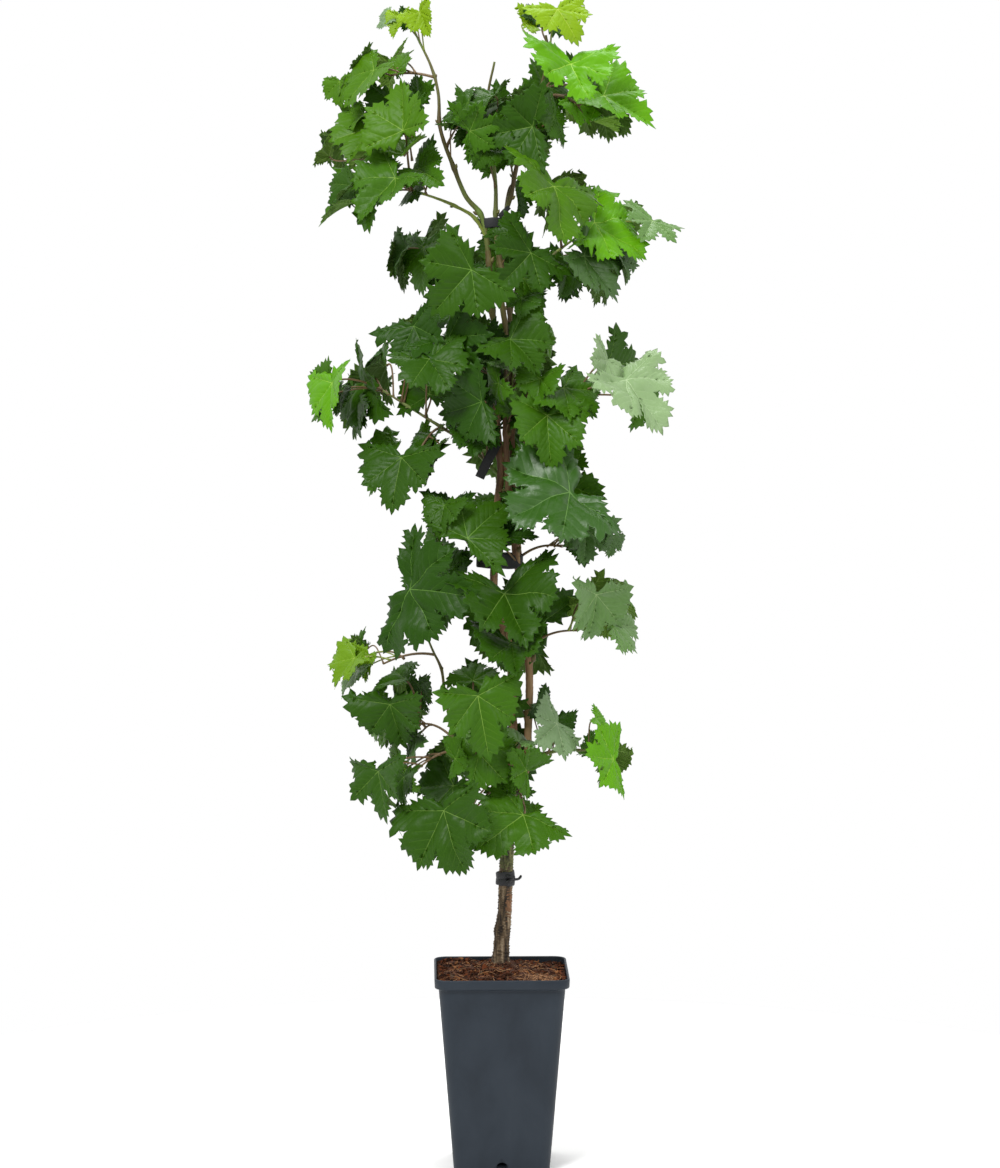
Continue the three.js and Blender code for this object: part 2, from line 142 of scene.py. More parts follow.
def patched(m, colours, scale, stretch=(1, 1, 1), detail=5.0, distortion=0.0):
    """Colour that changes over the surface: stops are (place 0 to 1, colour)."""
    nt = m.node_tree
    bsdf = next(n for n in nt.nodes if n.type == "BSDF_PRINCIPLED")
    place = next(n for n in nt.nodes if n.type == "TEX_COORD")
    mapping = nt.nodes.new("ShaderNodeMapping")
    mapping.inputs["Scale"].default_value = stretch
    mapping.inputs["Location"].default_value = (3.1, 1.7, 0.4)
    nt.links.new(place.outputs["Object"], mapping.inputs["Vector"])
    noise = nt.nodes.new("ShaderNodeTexNoise")
    noise.inputs["Scale"].default_value = scale
    noise.inputs["Detail"].default_value = detail
    noise.inputs["Distortion"].default_value = distortion
    nt.links.new(mapping.outputs[0], noise.inputs["Vector"])
    ramp = nt.nodes.new("ShaderNodeValToRGB")
    while len(ramp.color_ramp.elements) < len(colours):
        ramp.color_ramp.elements.new(0.5)
    for e, (at, c) in zip(ramp.color_ramp.elements, colours):
        e.position = at
        e.color = (*linear(c), 1)
    nt.links.new(noise.outputs["Fac"], ramp.inputs[0])
    nt.links.new(ramp.outputs[0], bsdf.inputs["Base Color"])
    return m


# tone: (upper side, underside, veins on the upper side, specular level, roughness). The grey-green tones sh, gg, gp and
# gl hold painted sheen: the grey reflection of the bright studio on glossy leaves is mixed into their upper-side
# colour, on top of their specular level
TONES = {
    "yg": ((119, 154, 17), (126, 152, 45), (172, 189, 83), 0.15, 0.42),
    "yb": ((97, 135, 11), (114, 143, 42), (153, 179, 73), 0.15, 0.42),
    "br": ((81, 133, 6), (107, 144, 43), (147, 178, 67), 0.15, 0.42),
    "bm": ((87, 147, 6), (110, 151, 43), (158, 195, 76), 0.15, 0.42),
    "md": ((67, 109, 8), (97, 130, 45), (129, 162, 64), 0.15, 0.42),
    "ml": ((56, 97, 9), (89, 122, 47), (119, 152, 62), 0.15, 0.42),
    "lw": ((42, 77, 6), (79, 109, 43), (100, 131, 55), 0.15, 0.42),
    "ld": ((46, 82, 6), (84, 113, 42), (102, 138, 57), 0.15, 0.42),
    "dk": ((36, 70, 6), (75, 105, 38), (87, 123, 50), 0.15, 0.42),
    # sh: dark green with painted sheen greyed into its upper side
    "sh": ((58, 92, 34), (92, 122, 62), (118, 150, 84), 0.36, 0.42),
    "sl": ((44, 84, 14), (84, 116, 50), (96, 134, 64), 0.42, 0.40),
    # gg, gp, gl: green leaves whose upper side carries painted sheen as a grey-green base colour
    "gg": ((88, 125, 59), (107, 139, 78), (147, 174, 113), 0.40, 0.40),
    "gp": ((105, 133, 87), (118, 144, 95), (159, 180, 134), 0.40, 0.40),
    "gl": ((128, 156, 106), (124, 150, 100), (168, 190, 146), 0.40, 0.40),
    "ol": ((98, 104, 48), (112, 118, 66), (146, 150, 92), 0.12, 0.55),
    "dy": ((164, 166, 66), (164, 162, 84), (190, 188, 112), 0.2, 0.5),
    "dg": ((126, 124, 104), (132, 128, 108), (150, 146, 124), 0.1, 0.6),
    "bn": ((80, 72, 26), (92, 80, 40), (124, 104, 54), 0.15, 0.55),
}
leaf_finish = {}
for tone, (face, back, vein, shine, rough) in TONES.items():
    leaf_finish[tone] = (
        material("leaf_face_" + tone, face, rough, 0.09, 260, 0.45, 0.0009, 5, specular=shine),
        material("leaf_vein_" + tone, vein, 0.50, 0.08, 900, 0.2, 0.0002, 3, specular=shine),
        material("leaf_back_" + tone, back, 0.70, 0.10, 520, 0.4, 0.0005, 4, specular=0.12),
        material("leaf_rib_" + tone, tuple(min(255, c + 24) for c in back), 0.62, 0.08, 900, 0.2, 0.0002, 3, specular=0.15),
        material("leaf_side_vein_" + tone, tuple(f + (v - f) * 0.28 for f, v in zip(face, vein)), rough, 0.08, 700, 0.3, 0.0003, 3, specular=shine),
    )

# ---------------------------------------------------------------- meshes


def piece(name, verts, faces, mats, index=None, smooth=True, flat=None):
    """One joined mesh piece. faces is an (n,3) or (n,4) array, or a list of them."""
    groups = faces if isinstance(faces, list) else [faces]
    groups = [np.asarray(g, np.int32) for g in groups if len(g)]
    counts = np.concatenate([np.full(len(g), g.shape[1], np.int32) for g in groups])
    loops = np.concatenate([g.ravel() for g in groups])
    starts = np.concatenate([[0], np.cumsum(counts)[:-1]]).astype(np.int32)
    me = bpy.data.meshes.new(name)
    me.vertices.add(len(verts))
    me.vertices.foreach_set("co", np.asarray(verts, np.float32).ravel())
    me.loops.add(len(loops))
    me.loops.foreach_set("vertex_index", loops)
    me.polygons.add(len(counts))
    me.polygons.foreach_set("loop_start", starts)
    for m in mats:
        me.materials.append(m)
    if index is not None:
        me.polygons.foreach_set("material_index", np.asarray(index, np.int32))
    me.update(calc_edges=True)
    me.validate()
    shade = np.full(len(me.polygons), smooth)
    if flat is not None and len(flat) == len(shade):
        shade[np.asarray(flat, bool)] = False
    me.polygons.foreach_set("use_smooth", shade)
    me.update()
    ob = bpy.data.objects.new(name, me)
    bpy.context.scene.collection.objects.link(ob)
    return ob


class Heap:
    """Meshes of one kind gathered into one piece."""

    def __init__(self):
        self.v, self.f3, self.f4, self.m3, self.m4, self.s3, self.s4, self.n = [], [], [], [], [], [], [], 0
        self.mats = []

    def slot(self, m):
        if m not in self.mats:
            self.mats.append(m)
        return self.mats.index(m)

    def add(self, verts, tris=(), quads=(), tri_mats=0, quad_mats=0, flat_tris=False, flat_quads=False):
        self.v.append(np.asarray(verts, float))
        for faces, fl, ml, sl, mats, flat in (
            (tris, self.f3, self.m3, self.s3, tri_mats, flat_tris),
            (quads, self.f4, self.m4, self.s4, quad_mats, flat_quads),
        ):
            if len(faces):
                faces = np.asarray(faces)
                fl.append(faces + self.n)
                ml.append(np.broadcast_to(np.asarray(mats), (len(faces),)))
                sl.append(np.full(len(faces), flat))
        self.n += len(verts)

    def make(self, name):
        faces, mats, flat = [], [], []
        for fl, ml, sl in ((self.f3, self.m3, self.s3), (self.f4, self.m4, self.s4)):
            if fl:
                faces.append(np.concatenate(fl))
                mats.append(np.concatenate(ml))
                flat.append(np.concatenate(sl))
        return piece(name, np.concatenate(self.v), faces, self.mats, np.concatenate(mats), True, np.concatenate(flat))


def spline(points, step):
    """A smooth line through points, resampled every step."""
    p = np.asarray(points, float)
    if len(p) == 2:
        p = np.array([p[0], (p[0] + p[1]) / 2, p[1]])
    ext = np.vstack([2 * p[0] - p[1], p, 2 * p[-1] - p[-2]])
    out = []
    for i in range(1, len(ext) - 2):
        a, b, c, d = ext[i - 1 : i + 3]
        t = np.linspace(0, 1, 24, endpoint=False)[:, None]
        out.append(0.5 * (2 * b + (c - a) * t + (2 * a - 5 * b + 4 * c - d) * t**2 + (3 * b - a - 3 * c + d) * t**3))
    out = np.vstack(out + [p[-1:]])
    s = np.concatenate([[0], np.cumsum(np.linalg.norm(np.diff(out, axis=0), axis=1))])
    n = max(3, int(round(s[-1] / step)) + 1)
    at = np.linspace(0, s[-1], n)
    return np.stack([np.interp(at, s, out[:, k]) for k in range(3)], 1), at


def rings(path):
    """Frames that don't twist along a path."""
    t = np.gradient(path, axis=0)
    t /= np.linalg.norm(t, axis=1)[:, None]
    a = unit(np.cross(t[0], [0.3, 1, 0.2]))
    us = []
    for k in range(len(path)):
        a = unit(a - np.dot(a, t[k]) * t[k])
        us.append(a)
    us = np.array(us)
    return t, us, np.cross(t, us)


def tube(path, radius, sides=12, relief=None):
    """Verts and faces of a closed round bar. radius has one value a ring; relief(ring, side) adds to it."""
    t, u, w = rings(path)
    ang = np.linspace(0, 2 * math.pi, sides, endpoint=False)
    r = np.asarray(radius)[:, None] * np.ones((1, sides))
    if relief is not None:
        r = r + relief
    v = path[:, None] + r[..., None] * (np.cos(ang)[None, :, None] * u[:, None] + np.sin(ang)[None, :, None] * w[:, None])
    n = len(path)
    i, j = np.meshgrid(np.arange(n - 1), np.arange(sides), indexing="ij")
    a = i * sides + j
    b = i * sides + (j + 1) % sides
    quads = np.stack([a, b, b + sides, a + sides], -1).reshape(-1, 4)
    v = v.reshape(-1, 3)
    c0, c1 = len(v), len(v) + 1
    v = np.vstack([v, path[0], path[-1]])
    k = np.arange(sides)
    k2 = (k + 1) % sides
    caps = np.vstack([np.stack([np.full(sides, c0), k2, k], 1), np.stack([np.full(sides, c1), (n - 1) * sides + k, (n - 1) * sides + k2], 1)])
    return v, caps, quads


def lump(seed, shape, strength, size):
    """Smooth random values on a ring-by-side grid that closes round the bar."""
    rng = np.random.default_rng(seed)
    n, m = shape
    out = np.zeros(shape)
    s = np.arange(n)[:, None] / size[0]
    a = np.arange(m)[None, :] * 2 * math.pi / m
    for k in range(14):
        f = rng.uniform(0.4, 2.2)
        c = rng.integers(1, size[1] + 1)
        out += np.sin(s * f + rng.uniform(0, 6.3)) * np.cos(a * c + rng.uniform(0, 6.3) + 0.6 * np.sin(s * rng.uniform(0.2, 0.7)))
    return out * strength / 3.7


# ---------------------------------------------------------------- leaves

LOBES = np.radians([-105.0, -50.0, 0.0, 50.0, 105.0])
REACH = np.array([0.62, 0.86, 1.0, 0.86, 0.62])


def base_outline(theta, sinus, side_sinus, wide=5.0):
    """Distance from the leaf's junction to its edge, before the teeth."""
    rho = np.zeros_like(theta)
    for at, reach in zip(LOBES, REACH):
        d = np.abs((theta - at + math.pi) % (2 * math.pi) - math.pi)
        d = np.minimum(d, math.radians(80))
        p = 1.42
        rho = np.maximum(rho, reach / (np.cos(d) ** p + (1.12 * np.sin(d)) ** p) ** (1 / p))
    deg = np.abs(np.degrees(theta))
    rho *= 1 - sinus * np.exp(-(((deg - 27) / wide) ** 2))
    rho *= 1 - side_sinus * np.exp(-(((deg - 79) / wide) ** 2))
    t = np.clip((180 - deg) / 66, 0, 1)
    return np.where(t < 1, np.minimum(rho, 0.05 + 0.57 * t**1.1), rho)


def leaf_template(seed, deep=False, broad=False):
    """A flat leaf, one long from junction to tip, cut into triangles with its veins."""
    rng = np.random.default_rng(seed)
    sinus, side_sinus, wide = rng.uniform(0.10, 0.38), rng.uniform(0.06, 0.26), 5.0
    if deep:
        sinus, side_sinus, wide = sinus * 0.43 + 0.42, side_sinus * 0.6 + 0.26, 9.0
    elif broad:
        sinus, side_sinus, wide = sinus * 0.5 + 0.27, side_sinus * 0.5 + 0.20, 4.2
    theta = np.linspace(-math.pi, math.pi, 1441)[:-1]
    rho = base_outline(theta, sinus, side_sinus, wide)
    line = np.stack([rho * np.cos(theta), rho * np.sin(theta)], 1)
    step = np.linalg.norm(np.roll(line, -1, 0) - line, axis=1)
    arc = np.concatenate([[0], np.cumsum(step)])[:-1]
    total = step.sum()
    tangent = np.roll(line, -10, 0) - np.roll(line, 10, 0)
    tangent /= np.linalg.norm(tangent, axis=1)[:, None]
    normal = np.stack([tangent[:, 1], -tangent[:, 0]], 1)

    def at(deg):
        return arc[int(round((math.radians(deg) + math.pi) / (2 * math.pi) * 1440)) % 1440]

    stops = [(-157, 0), (-105, 1), (-79, 0), (-50, 1), (-27, 0), (0, 1), (27, 0), (50, 1), (79, 0), (105, 1), (157, 0)]
    teeth = [7, 3, 5, 5, 6, 6, 5, 5, 3, 7] if broad else [4, 2, 3, 3, 4, 4, 3, 3, 2, 4]
    cuts = []  # (arc, offset)
    for (d0, tip0), (d1, tip1), count in zip(stops, stops[1:], teeth):
        s0, s1 = at(d0), at(d1)
        length = (s1 - s0) / (count + 0.5)
        lo = s0 + (length * 0.5 if tip0 else 0)
        edges = lo + length * np.arange(count + 1)
        edges[1:-1] += rng.uniform(-0.22, 0.22, count - 1) * length
        for k in range(count):
            a, b = edges[k], edges[k + 1]
            w = b - a
            h = w * (rng.uniform(0.40, 0.74) if broad else rng.uniform(0.36, 0.66))
            apex = 0.64 if tip1 else 0.36
            cuts += [(a, -0.10 * w), (a + w * apex * 0.55, h * 0.42), (a + w * apex, h), (a + w * (apex + (1 - apex) * 0.45), h * 0.36)]
        if tip1:
            w = length * 1.15
            h = w * rng.uniform(0.55, 0.82)
            cuts += [(s1 - w * 0.5, -0.08 * w), (s1 - w * 0.22, h * 0.42), (s1, h), (s1 + w * 0.22, h * 0.42)]
    cuts.sort()
    s = np.array([c[0] for c in cuts])
    off = np.array([c[1] for c in cuts])
    # the smooth part round the petiole's notch
    tail = np.linspace(at(157), total, 12)[1:-1]
    head = np.linspace(0, at(-157), 12)[1:-1]
    s = np.concatenate([head, s, tail])
    off = np.concatenate([np.zeros(len(head)), off, np.zeros(len(tail))])
    px = np.interp(s, np.append(arc, total), np.append(line[:, 0], line[0, 0]))
    py = np.interp(s, np.append(arc, total), np.append(line[:, 1], line[0, 1]))
    nx = np.interp(s, arc, normal[:, 0])
    ny = np.interp(s, arc, normal[:, 1])
    edge = np.stack([px + nx * off, py + ny * off], 1)
    notch = s < at(-150)
    radius = np.linalg.norm(edge, axis=1)
    keep = radius > 0.02
    edge = edge[keep]

    def inside(q):
        x, y = q[:, 0][:, None], q[:, 1][:, None]
        a, b = edge, np.roll(edge, -1, 0)
        cross = (a[:, 1] > y) != (b[:, 1] > y)
        xs = a[:, 0] + (y - a[:, 1]) * (b[:, 0] - a[:, 0]) / np.where(np.abs(b[:, 1] - a[:, 1]) < 1e-12, 1e-12, b[:, 1] - a[:, 1])
        return (np.sum(cross & (x < xs), 1) % 2) == 1

    def edge_distance(q):
        a, b = edge, np.roll(edge, -1, 0)
        ab = b - a
        t = np.clip(np.sum((q[:, None] - a) * ab, -1) / np.maximum(np.sum(ab * ab, -1), 1e-12), 0, 1)
        return np.linalg.norm(q[:, None] - (a + ab * t[..., None]), axis=-1).min(1)

    ribs, twigs = [], []
    for k, (at_lobe, reach) in enumerate(zip(LOBES, REACH)):
        tip = float(base_outline(np.array([at_lobe]), sinus, side_sinus, wide)[0]) * 0.985
        ribs.append((np.zeros(2), np.array([math.cos(at_lobe), math.sin(at_lobe)]) * tip, 0.0072 if k == 2 else 0.0062, 0.0022))
    for k, (p0, p1, *_r) in enumerate(ribs):
        d = p1 / np.linalg.norm(p1)
        length = np.linalg.norm(p1)
        for side in (-1, 1):
            outer = (side < 0 and k < 2) or (side > 0 and k > 2)
            for n, t in enumerate(np.linspace(0.2 if k == 2 or outer else 0.42, 0.86, 6 if k == 2 else (5 if outer else 4))):
                t = t + (0.035 if side > 0 else 0) + rng.uniform(-0.015, 0.015)
                a = side * math.radians(rng.uniform(40, 50))
                q = d * t * length
                e = np.array([d[0] * math.cos(a) - d[1] * math.sin(a), d[0] * math.sin(a) + d[1] * math.cos(a)])
                reach_line = np.linspace(0.02, 0.8, 60)
                path = q + e * reach_line[:, None]
                ok = inside(path)
                own = np.linalg.norm(path, axis=1)
                ang = np.arctan2(path[:, 1], path[:, 0])
                mine = np.abs((ang - LOBES[k] + math.pi) % (2 * math.pi) - math.pi)
                for j in range(5):
                    if j != k:
                        other = np.abs((ang - LOBES[j] + math.pi) % (2 * math.pi) - math.pi)
                        ok &= mine < other + 0.02
                stop = int(np.argmin(ok)) if not ok.all() else len(ok) - 1
                if stop < 3:
                    continue
                twigs.append((q, q + e * reach_line[stop - 1] * 0.94, 0.0040, 0.0016))
    h = 0.058
    gx, gy = np.meshgrid(np.arange(-0.8, 1.25, h), np.arange(-1.1, 1.1, h * 0.866))
    gx = gx + (np.arange(gx.shape[0]) % 2)[:, None] * h / 2
    grid = np.stack([gx.ravel(), gy.ravel()], 1) + rng.uniform(-0.12, 0.12, (gx.size, 2)) * h
    grid = grid[inside(grid)]
    grid = grid[edge_distance(grid) > h * 0.33]

    def distance(q, lines):
        best = np.full(len(q), 9.0)
        for a, b, *_w in lines:
            ab = b - a
            t = np.clip((q - a) @ ab / (ab @ ab), 0, 1)
            best = np.minimum(best, np.linalg.norm(q - a - t[:, None] * ab, axis=1))
        return best

    grid = grid[(distance(grid, ribs) > h * 0.42) & (distance(grid, twigs) > h * 0.30)]
    verts = [Vector(p) for p in edge]
    faces = [list(range(len(edge)))]
    for lines, parts in ((ribs, 9), (twigs, 4)):
        for a, b, w0, w1 in lines:
            d = (b - a) / np.linalg.norm(b - a)
            n = np.array([-d[1], d[0]])
            t = np.linspace(0, 1, parts)
            left = [a + (b - a) * k + n * (w0 + (w1 - w0) * k) for k in t[:-1]]
            right = [a + (b - a) * k - n * (w0 + (w1 - w0) * k) for k in t[:-1]]
            ring = left + [b] + right[::-1]
            ring = ring[::-1]
            start = len(verts)
            verts += [Vector(p) for p in ring]
            faces.append(list(range(start, start + len(ring))))
    verts += [Vector(p) for p in grid]
    out = delaunay_2d_cdt(verts, [], faces, 1, 1e-5, True)
    v = np.array([tuple(p) for p in out[0]])
    tris, kinds = [], []
    for f, origin in zip(out[2], out[5]):
        if 0 not in origin:
            continue
        kind = 1 if any(0 < o <= len(ribs) for o in origin) else (2 if any(o > len(ribs) for o in origin) else 0)
        for k in range(1, len(f) - 1):
            tris.append((f[0], f[k], f[k + 1]))
            kinds.append(kind)
    tris = np.array(tris)
    kinds = np.array(kinds)
    a, b, c = v[tris[:, 0]], v[tris[:, 1]], v[tris[:, 2]]
    area = (b[:, 0] - a[:, 0]) * (c[:, 1] - a[:, 1]) - (b[:, 1] - a[:, 1]) * (c[:, 0] - a[:, 0])
    tris[area < 0] = tris[area < 0][:, ::-1]
    ok = np.abs(area) > 1e-9
    tris, kinds = tris[ok], kinds[ok]
    used = np.unique(tris)
    remap = np.full(len(v), -1)
    remap[used] = np.arange(len(used))
    v, tris = v[used], remap[tris]
    e = np.sort(np.vstack([tris[:, [0, 1]], tris[:, [1, 2]], tris[:, [2, 0]]]), 1)
    directed = np.vstack([tris[:, [0, 1]], tris[:, [1, 2]], tris[:, [2, 0]]])
    _u, first, count = np.unique(e, axis=0, return_index=True, return_counts=True)
    rim = directed[first[count == 1]]
    theta_v = np.arctan2(v[:, 1], v[:, 0])
    full = base_outline(theta_v, 0, 0)
    return {
        "v": v,
        "tris": tris,
        "kinds": kinds,
        "rim": rim,
        "theta": theta_v,
        "r": np.linalg.norm(v, axis=1),
        "out": np.linalg.norm(v, axis=1) / np.maximum(full, 0.05),
        "d_rib": distance(v, ribs),
        "d_twig": distance(v, twigs),
    }


TEMPLATES = [leaf_template(100 + k) for k in range(10)]
BROAD = [leaf_template(160 + k, broad=True) for k in range(5)]
DEEP = [leaf_template(130 + k, True) for k in range(3)]


def leaf_mesh(heap, junction, along, normal, size, tone, seed, lengths=(1,) * 5, angles=(0,) * 5, fold=20.0, droop=0.18, gape=12.0, curl=0.0, deep=False, wave=0.045):
    """Adds one leaf to a heap. along is the midrib's direction, normal the upper side's."""
    rng = np.random.default_rng(seed)
    large = size > 0.062
    kinds = DEEP if deep else (BROAD if large else TEMPLATES)
    tp = kinds[rng.integers(len(kinds))]
    along, normal = unit(along), unit(normal)
    side = np.cross(normal, along)
    shift = np.radians(angles)
    lengths = np.asarray(lengths, float)
    knots = np.concatenate([[-math.pi], LOBES, [math.pi]])
    back = math.pi - math.radians(gape)
    moved = np.concatenate([[-back + shift[0] * 0.75], LOBES + shift, [back + shift[4] * 0.75]])
    theta = np.interp(tp["theta"], knots, moved)
    r = tp["r"] * np.interp(tp["theta"], knots, np.concatenate([[lengths[0]], lengths, [lengths[4]]]))
    x, y = r * np.cos(theta), r * np.sin(theta)
    f = math.radians(fold)
    soft = np.sqrt(y * y + 0.0009) - 0.03
    z = soft * math.sin(f)
    y = y * math.cos(f)
    # the tissue between the veins stands up, the lobes droop and the edge waves
    z = z + 0.036 * np.minimum(1, tp["d_rib"] / 0.13) ** 0.75 + 0.018 * np.minimum(1, tp["d_twig"] / 0.05) ** 0.8
    z = z - droop * np.clip(x, 0, 2) ** 2 - droop * 0.55 * np.abs(y) ** 2 - 0.10 * np.clip(-x, 0, 1) ** 1.5
    out = np.clip(tp["out"], 0, 1.2)
    for k in range(3):
        n = rng.integers(3, 9)
        z = z + wave * rng.uniform(0.35, 0.8) * out**3 * np.sin(tp["theta"] * n + rng.uniform(0, 6.3))
    z = z - 0.035 * np.clip(out - 0.86, 0, 1) / 0.2
    # a large leaf is never flat: low swells run across it
    for k in range(4 if large else 0):
        turn, beat, at = rng.uniform(0, math.pi), rng.uniform(7, 15), rng.uniform(0, 6.3)
        z = z + 0.016 * (np.sin(beat * (x * math.cos(turn) + y * math.sin(turn)) + at) - math.sin(at))
    bend = rng.uniform(-0.10, 0.10)
    y = y + bend * x * np.abs(x)
    if curl:
        # dried and rolled towards the midrib
        roll = curl * 2.4
        yy = np.abs(y)
        radius = 0.5 / roll
        a = yy / max(radius, 1e-3) * 0.5
        y, z = np.sign(y) * radius * np.sin(a), z * 0.6 + radius * (1 - np.cos(a))
        z = z + 0.05 * np.sin(x * 14 + rng.uniform(0, 6)) * out
    local = np.stack([x, y, z], 1) * size * 0.96
    base = local[:, :1] * along + local[:, 1:2] * side + local[:, 2:3] * normal + junction
    # the crown keeps its depth
    slide = max(0.0, cad_low[1] - 0.009 - base[:, 1].min()) - max(0.0, base[:, 1].max() - cad_high[1] - 0.009)
    base[:, 1] += slide
    tris = tp["tris"]
    n = np.zeros_like(base)
    fn = np.cross(base[tris[:, 1]] - base[tris[:, 0]], base[tris[:, 2]] - base[tris[:, 0]])
    for k in range(3):
        np.add.at(n, tris[:, k], fn)
    n /= np.maximum(np.linalg.norm(n, axis=1), 1e-15)[:, None]
    thick = 0.00016
    rib = np.exp(-((tp["d_rib"] / 0.014) ** 2)) * 0.00055 * np.clip(1.1 - tp["r"], 0.2, 1) + np.exp(-((tp["d_twig"] / 0.008) ** 2)) * 0.00022
    edge = np.zeros(len(base), bool)
    edge[tp["rim"].ravel()] = True
    rib[edge] = 0
    top = base + n * thick
    low = base - n * (thick + rib)[:, None]
    count = len(base)
    face, vein, back, under, faint = (heap.slot(m) for m in leaf_finish[tone])
    upper_slots, lower_slots = np.array([face, vein, faint]), np.array([back, under, under])
    a, b = tp["rim"][:, 0], tp["rim"][:, 1]
    rim_quads = np.stack([b, a, a + count, b + count], 1)
    heap.add(
        np.vstack([top, low]),
        np.vstack([tris, tris[:, ::-1] + count]),
        rim_quads,
        np.concatenate([upper_slots[tp["kinds"]], lower_slots[tp["kinds"]]]),
        face,
        False,
        True,
    )
    return np.array([0, slide, 0])


# ---------------------------------------------------------------- limbs, the same routes as the CAD limbs, in millimetres

LIMBS = {
    "cane_left": (4.6, 1.0, [[6, 0, 428], [13, -2, 478], [12, -4, 535], [8, -5, 585], [-2, -5, 616], [-8, -5, 650], [-7, -5, 691], [-4, -5, 736], [-1, -5, 780], [-4, -5, 824], [-5, -6, 869], [-5, -6, 918], [-12, -6, 979], [-16, -6, 1034], [-22, -6, 1062], [-39, -8, 1082], [-54, -10, 1116], [-66, -10, 1154], [-69, -8, 1192], [-78, -6, 1225], [-91, -5, 1254], [-98, -5, 1272]]),
    "cane_right": (4.3, 1.3, [[17, 6, 424], [29, 8, 449], [30, 8, 477], [32, 8, 522], [30, 8, 567], [23, 7, 623], [20, 6, 662], [18, 6, 701], [14, 6, 746], [12, 6, 813], [10, 6, 857], [12, 6, 890], [9, 6, 923], [2, 7, 956], [-3, 7, 990], [-1, 7, 1028], [2, 6, 1053], [10, 4, 1083], [19, 2, 1121], [32, 0, 1171], [44, 0, 1203], [53, 0, 1236], [50, 0, 1258]]),
    "cane_middle": (3.4, 1.2, [[21, 5, 652], [17, -5, 680], [14, -8, 700], [10, -9, 747], [5, -9, 802], [5, -9, 847], [7, -9, 902], [10, -9, 935], [6, -9, 979], [-3, -7, 1023], [-7, -4, 1053], [-6, 0, 1089], [-8, 4, 1132], [-11, 6, 1165], [-15, 6, 1193], [-8, 4, 1229]]),
    "shoot_low_left": (1.9, 0.85, [[2, -4, 431], [-24, -12, 458], [-47, -10, 467], [-55, -8, 485], [-61, -4, 524], [-67, -2, 557], [-76, -2, 579], [-84, -6, 602], [-89, -16, 624]]),
    "shoot_low_right": (1.8, 1.0, [[30, 7, 457], [49, 0, 463], [71, -6, 467], [97, -12, 468]]),
    "shoot_mid_left": (1.9, 1.0, [[-1, -5, 771], [-20, -4, 792], [-43, 0, 813], [-67, 4, 827], [-101, 12, 849], [-132, 18, 867]]),
    "shoot_high_left": (1.9, 1.1, [[-16, -6, 1034], [-30, -9, 1058], [-48, -13, 1070], [-67, -16, 1078], [-98, -20, 1088]]),
    "shoot_high_right": (1.9, 1.0, [[2, 7, 956], [27, 10, 981], [44, 12, 1001], [54, 12, 1014], [68, 12, 1026], [88, 12, 1040]]),
}

# painted shade: leaves set deep inside the crown are dealt these mostly darker greens for the shade that falls on them
# there
PAINTED_SHADE_TONES = ("md", "lw", "dk", "ml", "ml", "ld", "lw")

limb_lines = {}
for limb, (r0, r1, route) in LIMBS.items():
    line, s = spline(np.array(route) * MM, 0.0025)
    taper = (r0 + (r1 - r0) * (s / s[-1]) ** 2.2) * MM
    limb_lines[limb] = (line, s, taper)
every_limb = np.vstack([v[0] for v in limb_lines.values()])
every_radius = np.concatenate([v[2] for v in limb_lines.values()])


def nearest_limb(p, upright=1.0):
    d = every_limb - p
    k = int(np.argmin(d[:, 0] ** 2 + (d[:, 1] * 0.35) ** 2 + (d[:, 2] * upright) ** 2))
    return every_limb[k], every_radius[k]


bark_brown = material("cane_bark", (118, 84, 58), 0.72, 0.14, 160, 0.8, 0.0008, 8, (1, 1, 0.12))
patched(bark_brown, [(0.30, (84, 58, 40)), (0.48, (124, 92, 62)), (0.66, (158, 128, 92))], 120, (1, 1, 0.10), 7)
cane_olive = material("cane_olive", (98, 92, 48), 0.62, 0.12, 200, 0.5, 0.0005, 6, (1, 1, 0.12))
patched(cane_olive, [(0.30, (76, 60, 36)), (0.48, (98, 88, 44)), (0.66, (120, 126, 64))], 60, (1, 1, 0.12), 7)
shoot_green = material("green_cane", (92, 98, 44), 0.60, 0.12, 200, 0.5, 0.0005, 6, (1, 1, 0.12))
patched(shoot_green, [(0.32, (84, 68, 38)), (0.50, (94, 98, 44)), (0.68, (104, 128, 54))], 46, (1, 1, 0.2), 6)
petiole_red = material("leaf_stalk_red", (108, 86, 54), 0.55, 0.10, 300, 0.3, 0.0003, 4)
petiole_green = material("leaf_stalk_green", (126, 140, 56), 0.50, 0.10, 300, 0.3, 0.0003, 4)
trunk_bark = material("trunk_bark", (84, 64, 46), 0.84, 0.12, 240, 1.0, 0.0014, 10, (1, 1, 0.18))
patched(trunk_bark, [(0.36, (40, 32, 25)), (0.46, (80, 66, 48)), (0.55, (112, 93, 69)), (0.66, (166, 148, 122))], 230, (1, 1, 0.13), 9, 0.4)
trunk_moss = material("trunk_moss", (78, 80, 46), 0.84, 0.12, 240, 1.0, 0.0012, 10, (1, 1, 0.2))
patched(trunk_moss, [(0.36, (40, 40, 26)), (0.46, (70, 70, 40)), (0.56, (96, 98, 58)), (0.68, (132, 128, 86))], 210, (1, 1, 0.2), 9, 0.4)
trunk_wound = material("trunk_wound", (124, 86, 58), 0.80, 0.12, 260, 0.9, 0.0010, 10, (1, 1, 0.2))
patched(trunk_wound, [(0.36, (70, 50, 36)), (0.46, (108, 76, 50)), (0.56, (138, 98, 68)), (0.68, (168, 136, 108))], 210, (1, 1, 0.2), 9, 0.5)


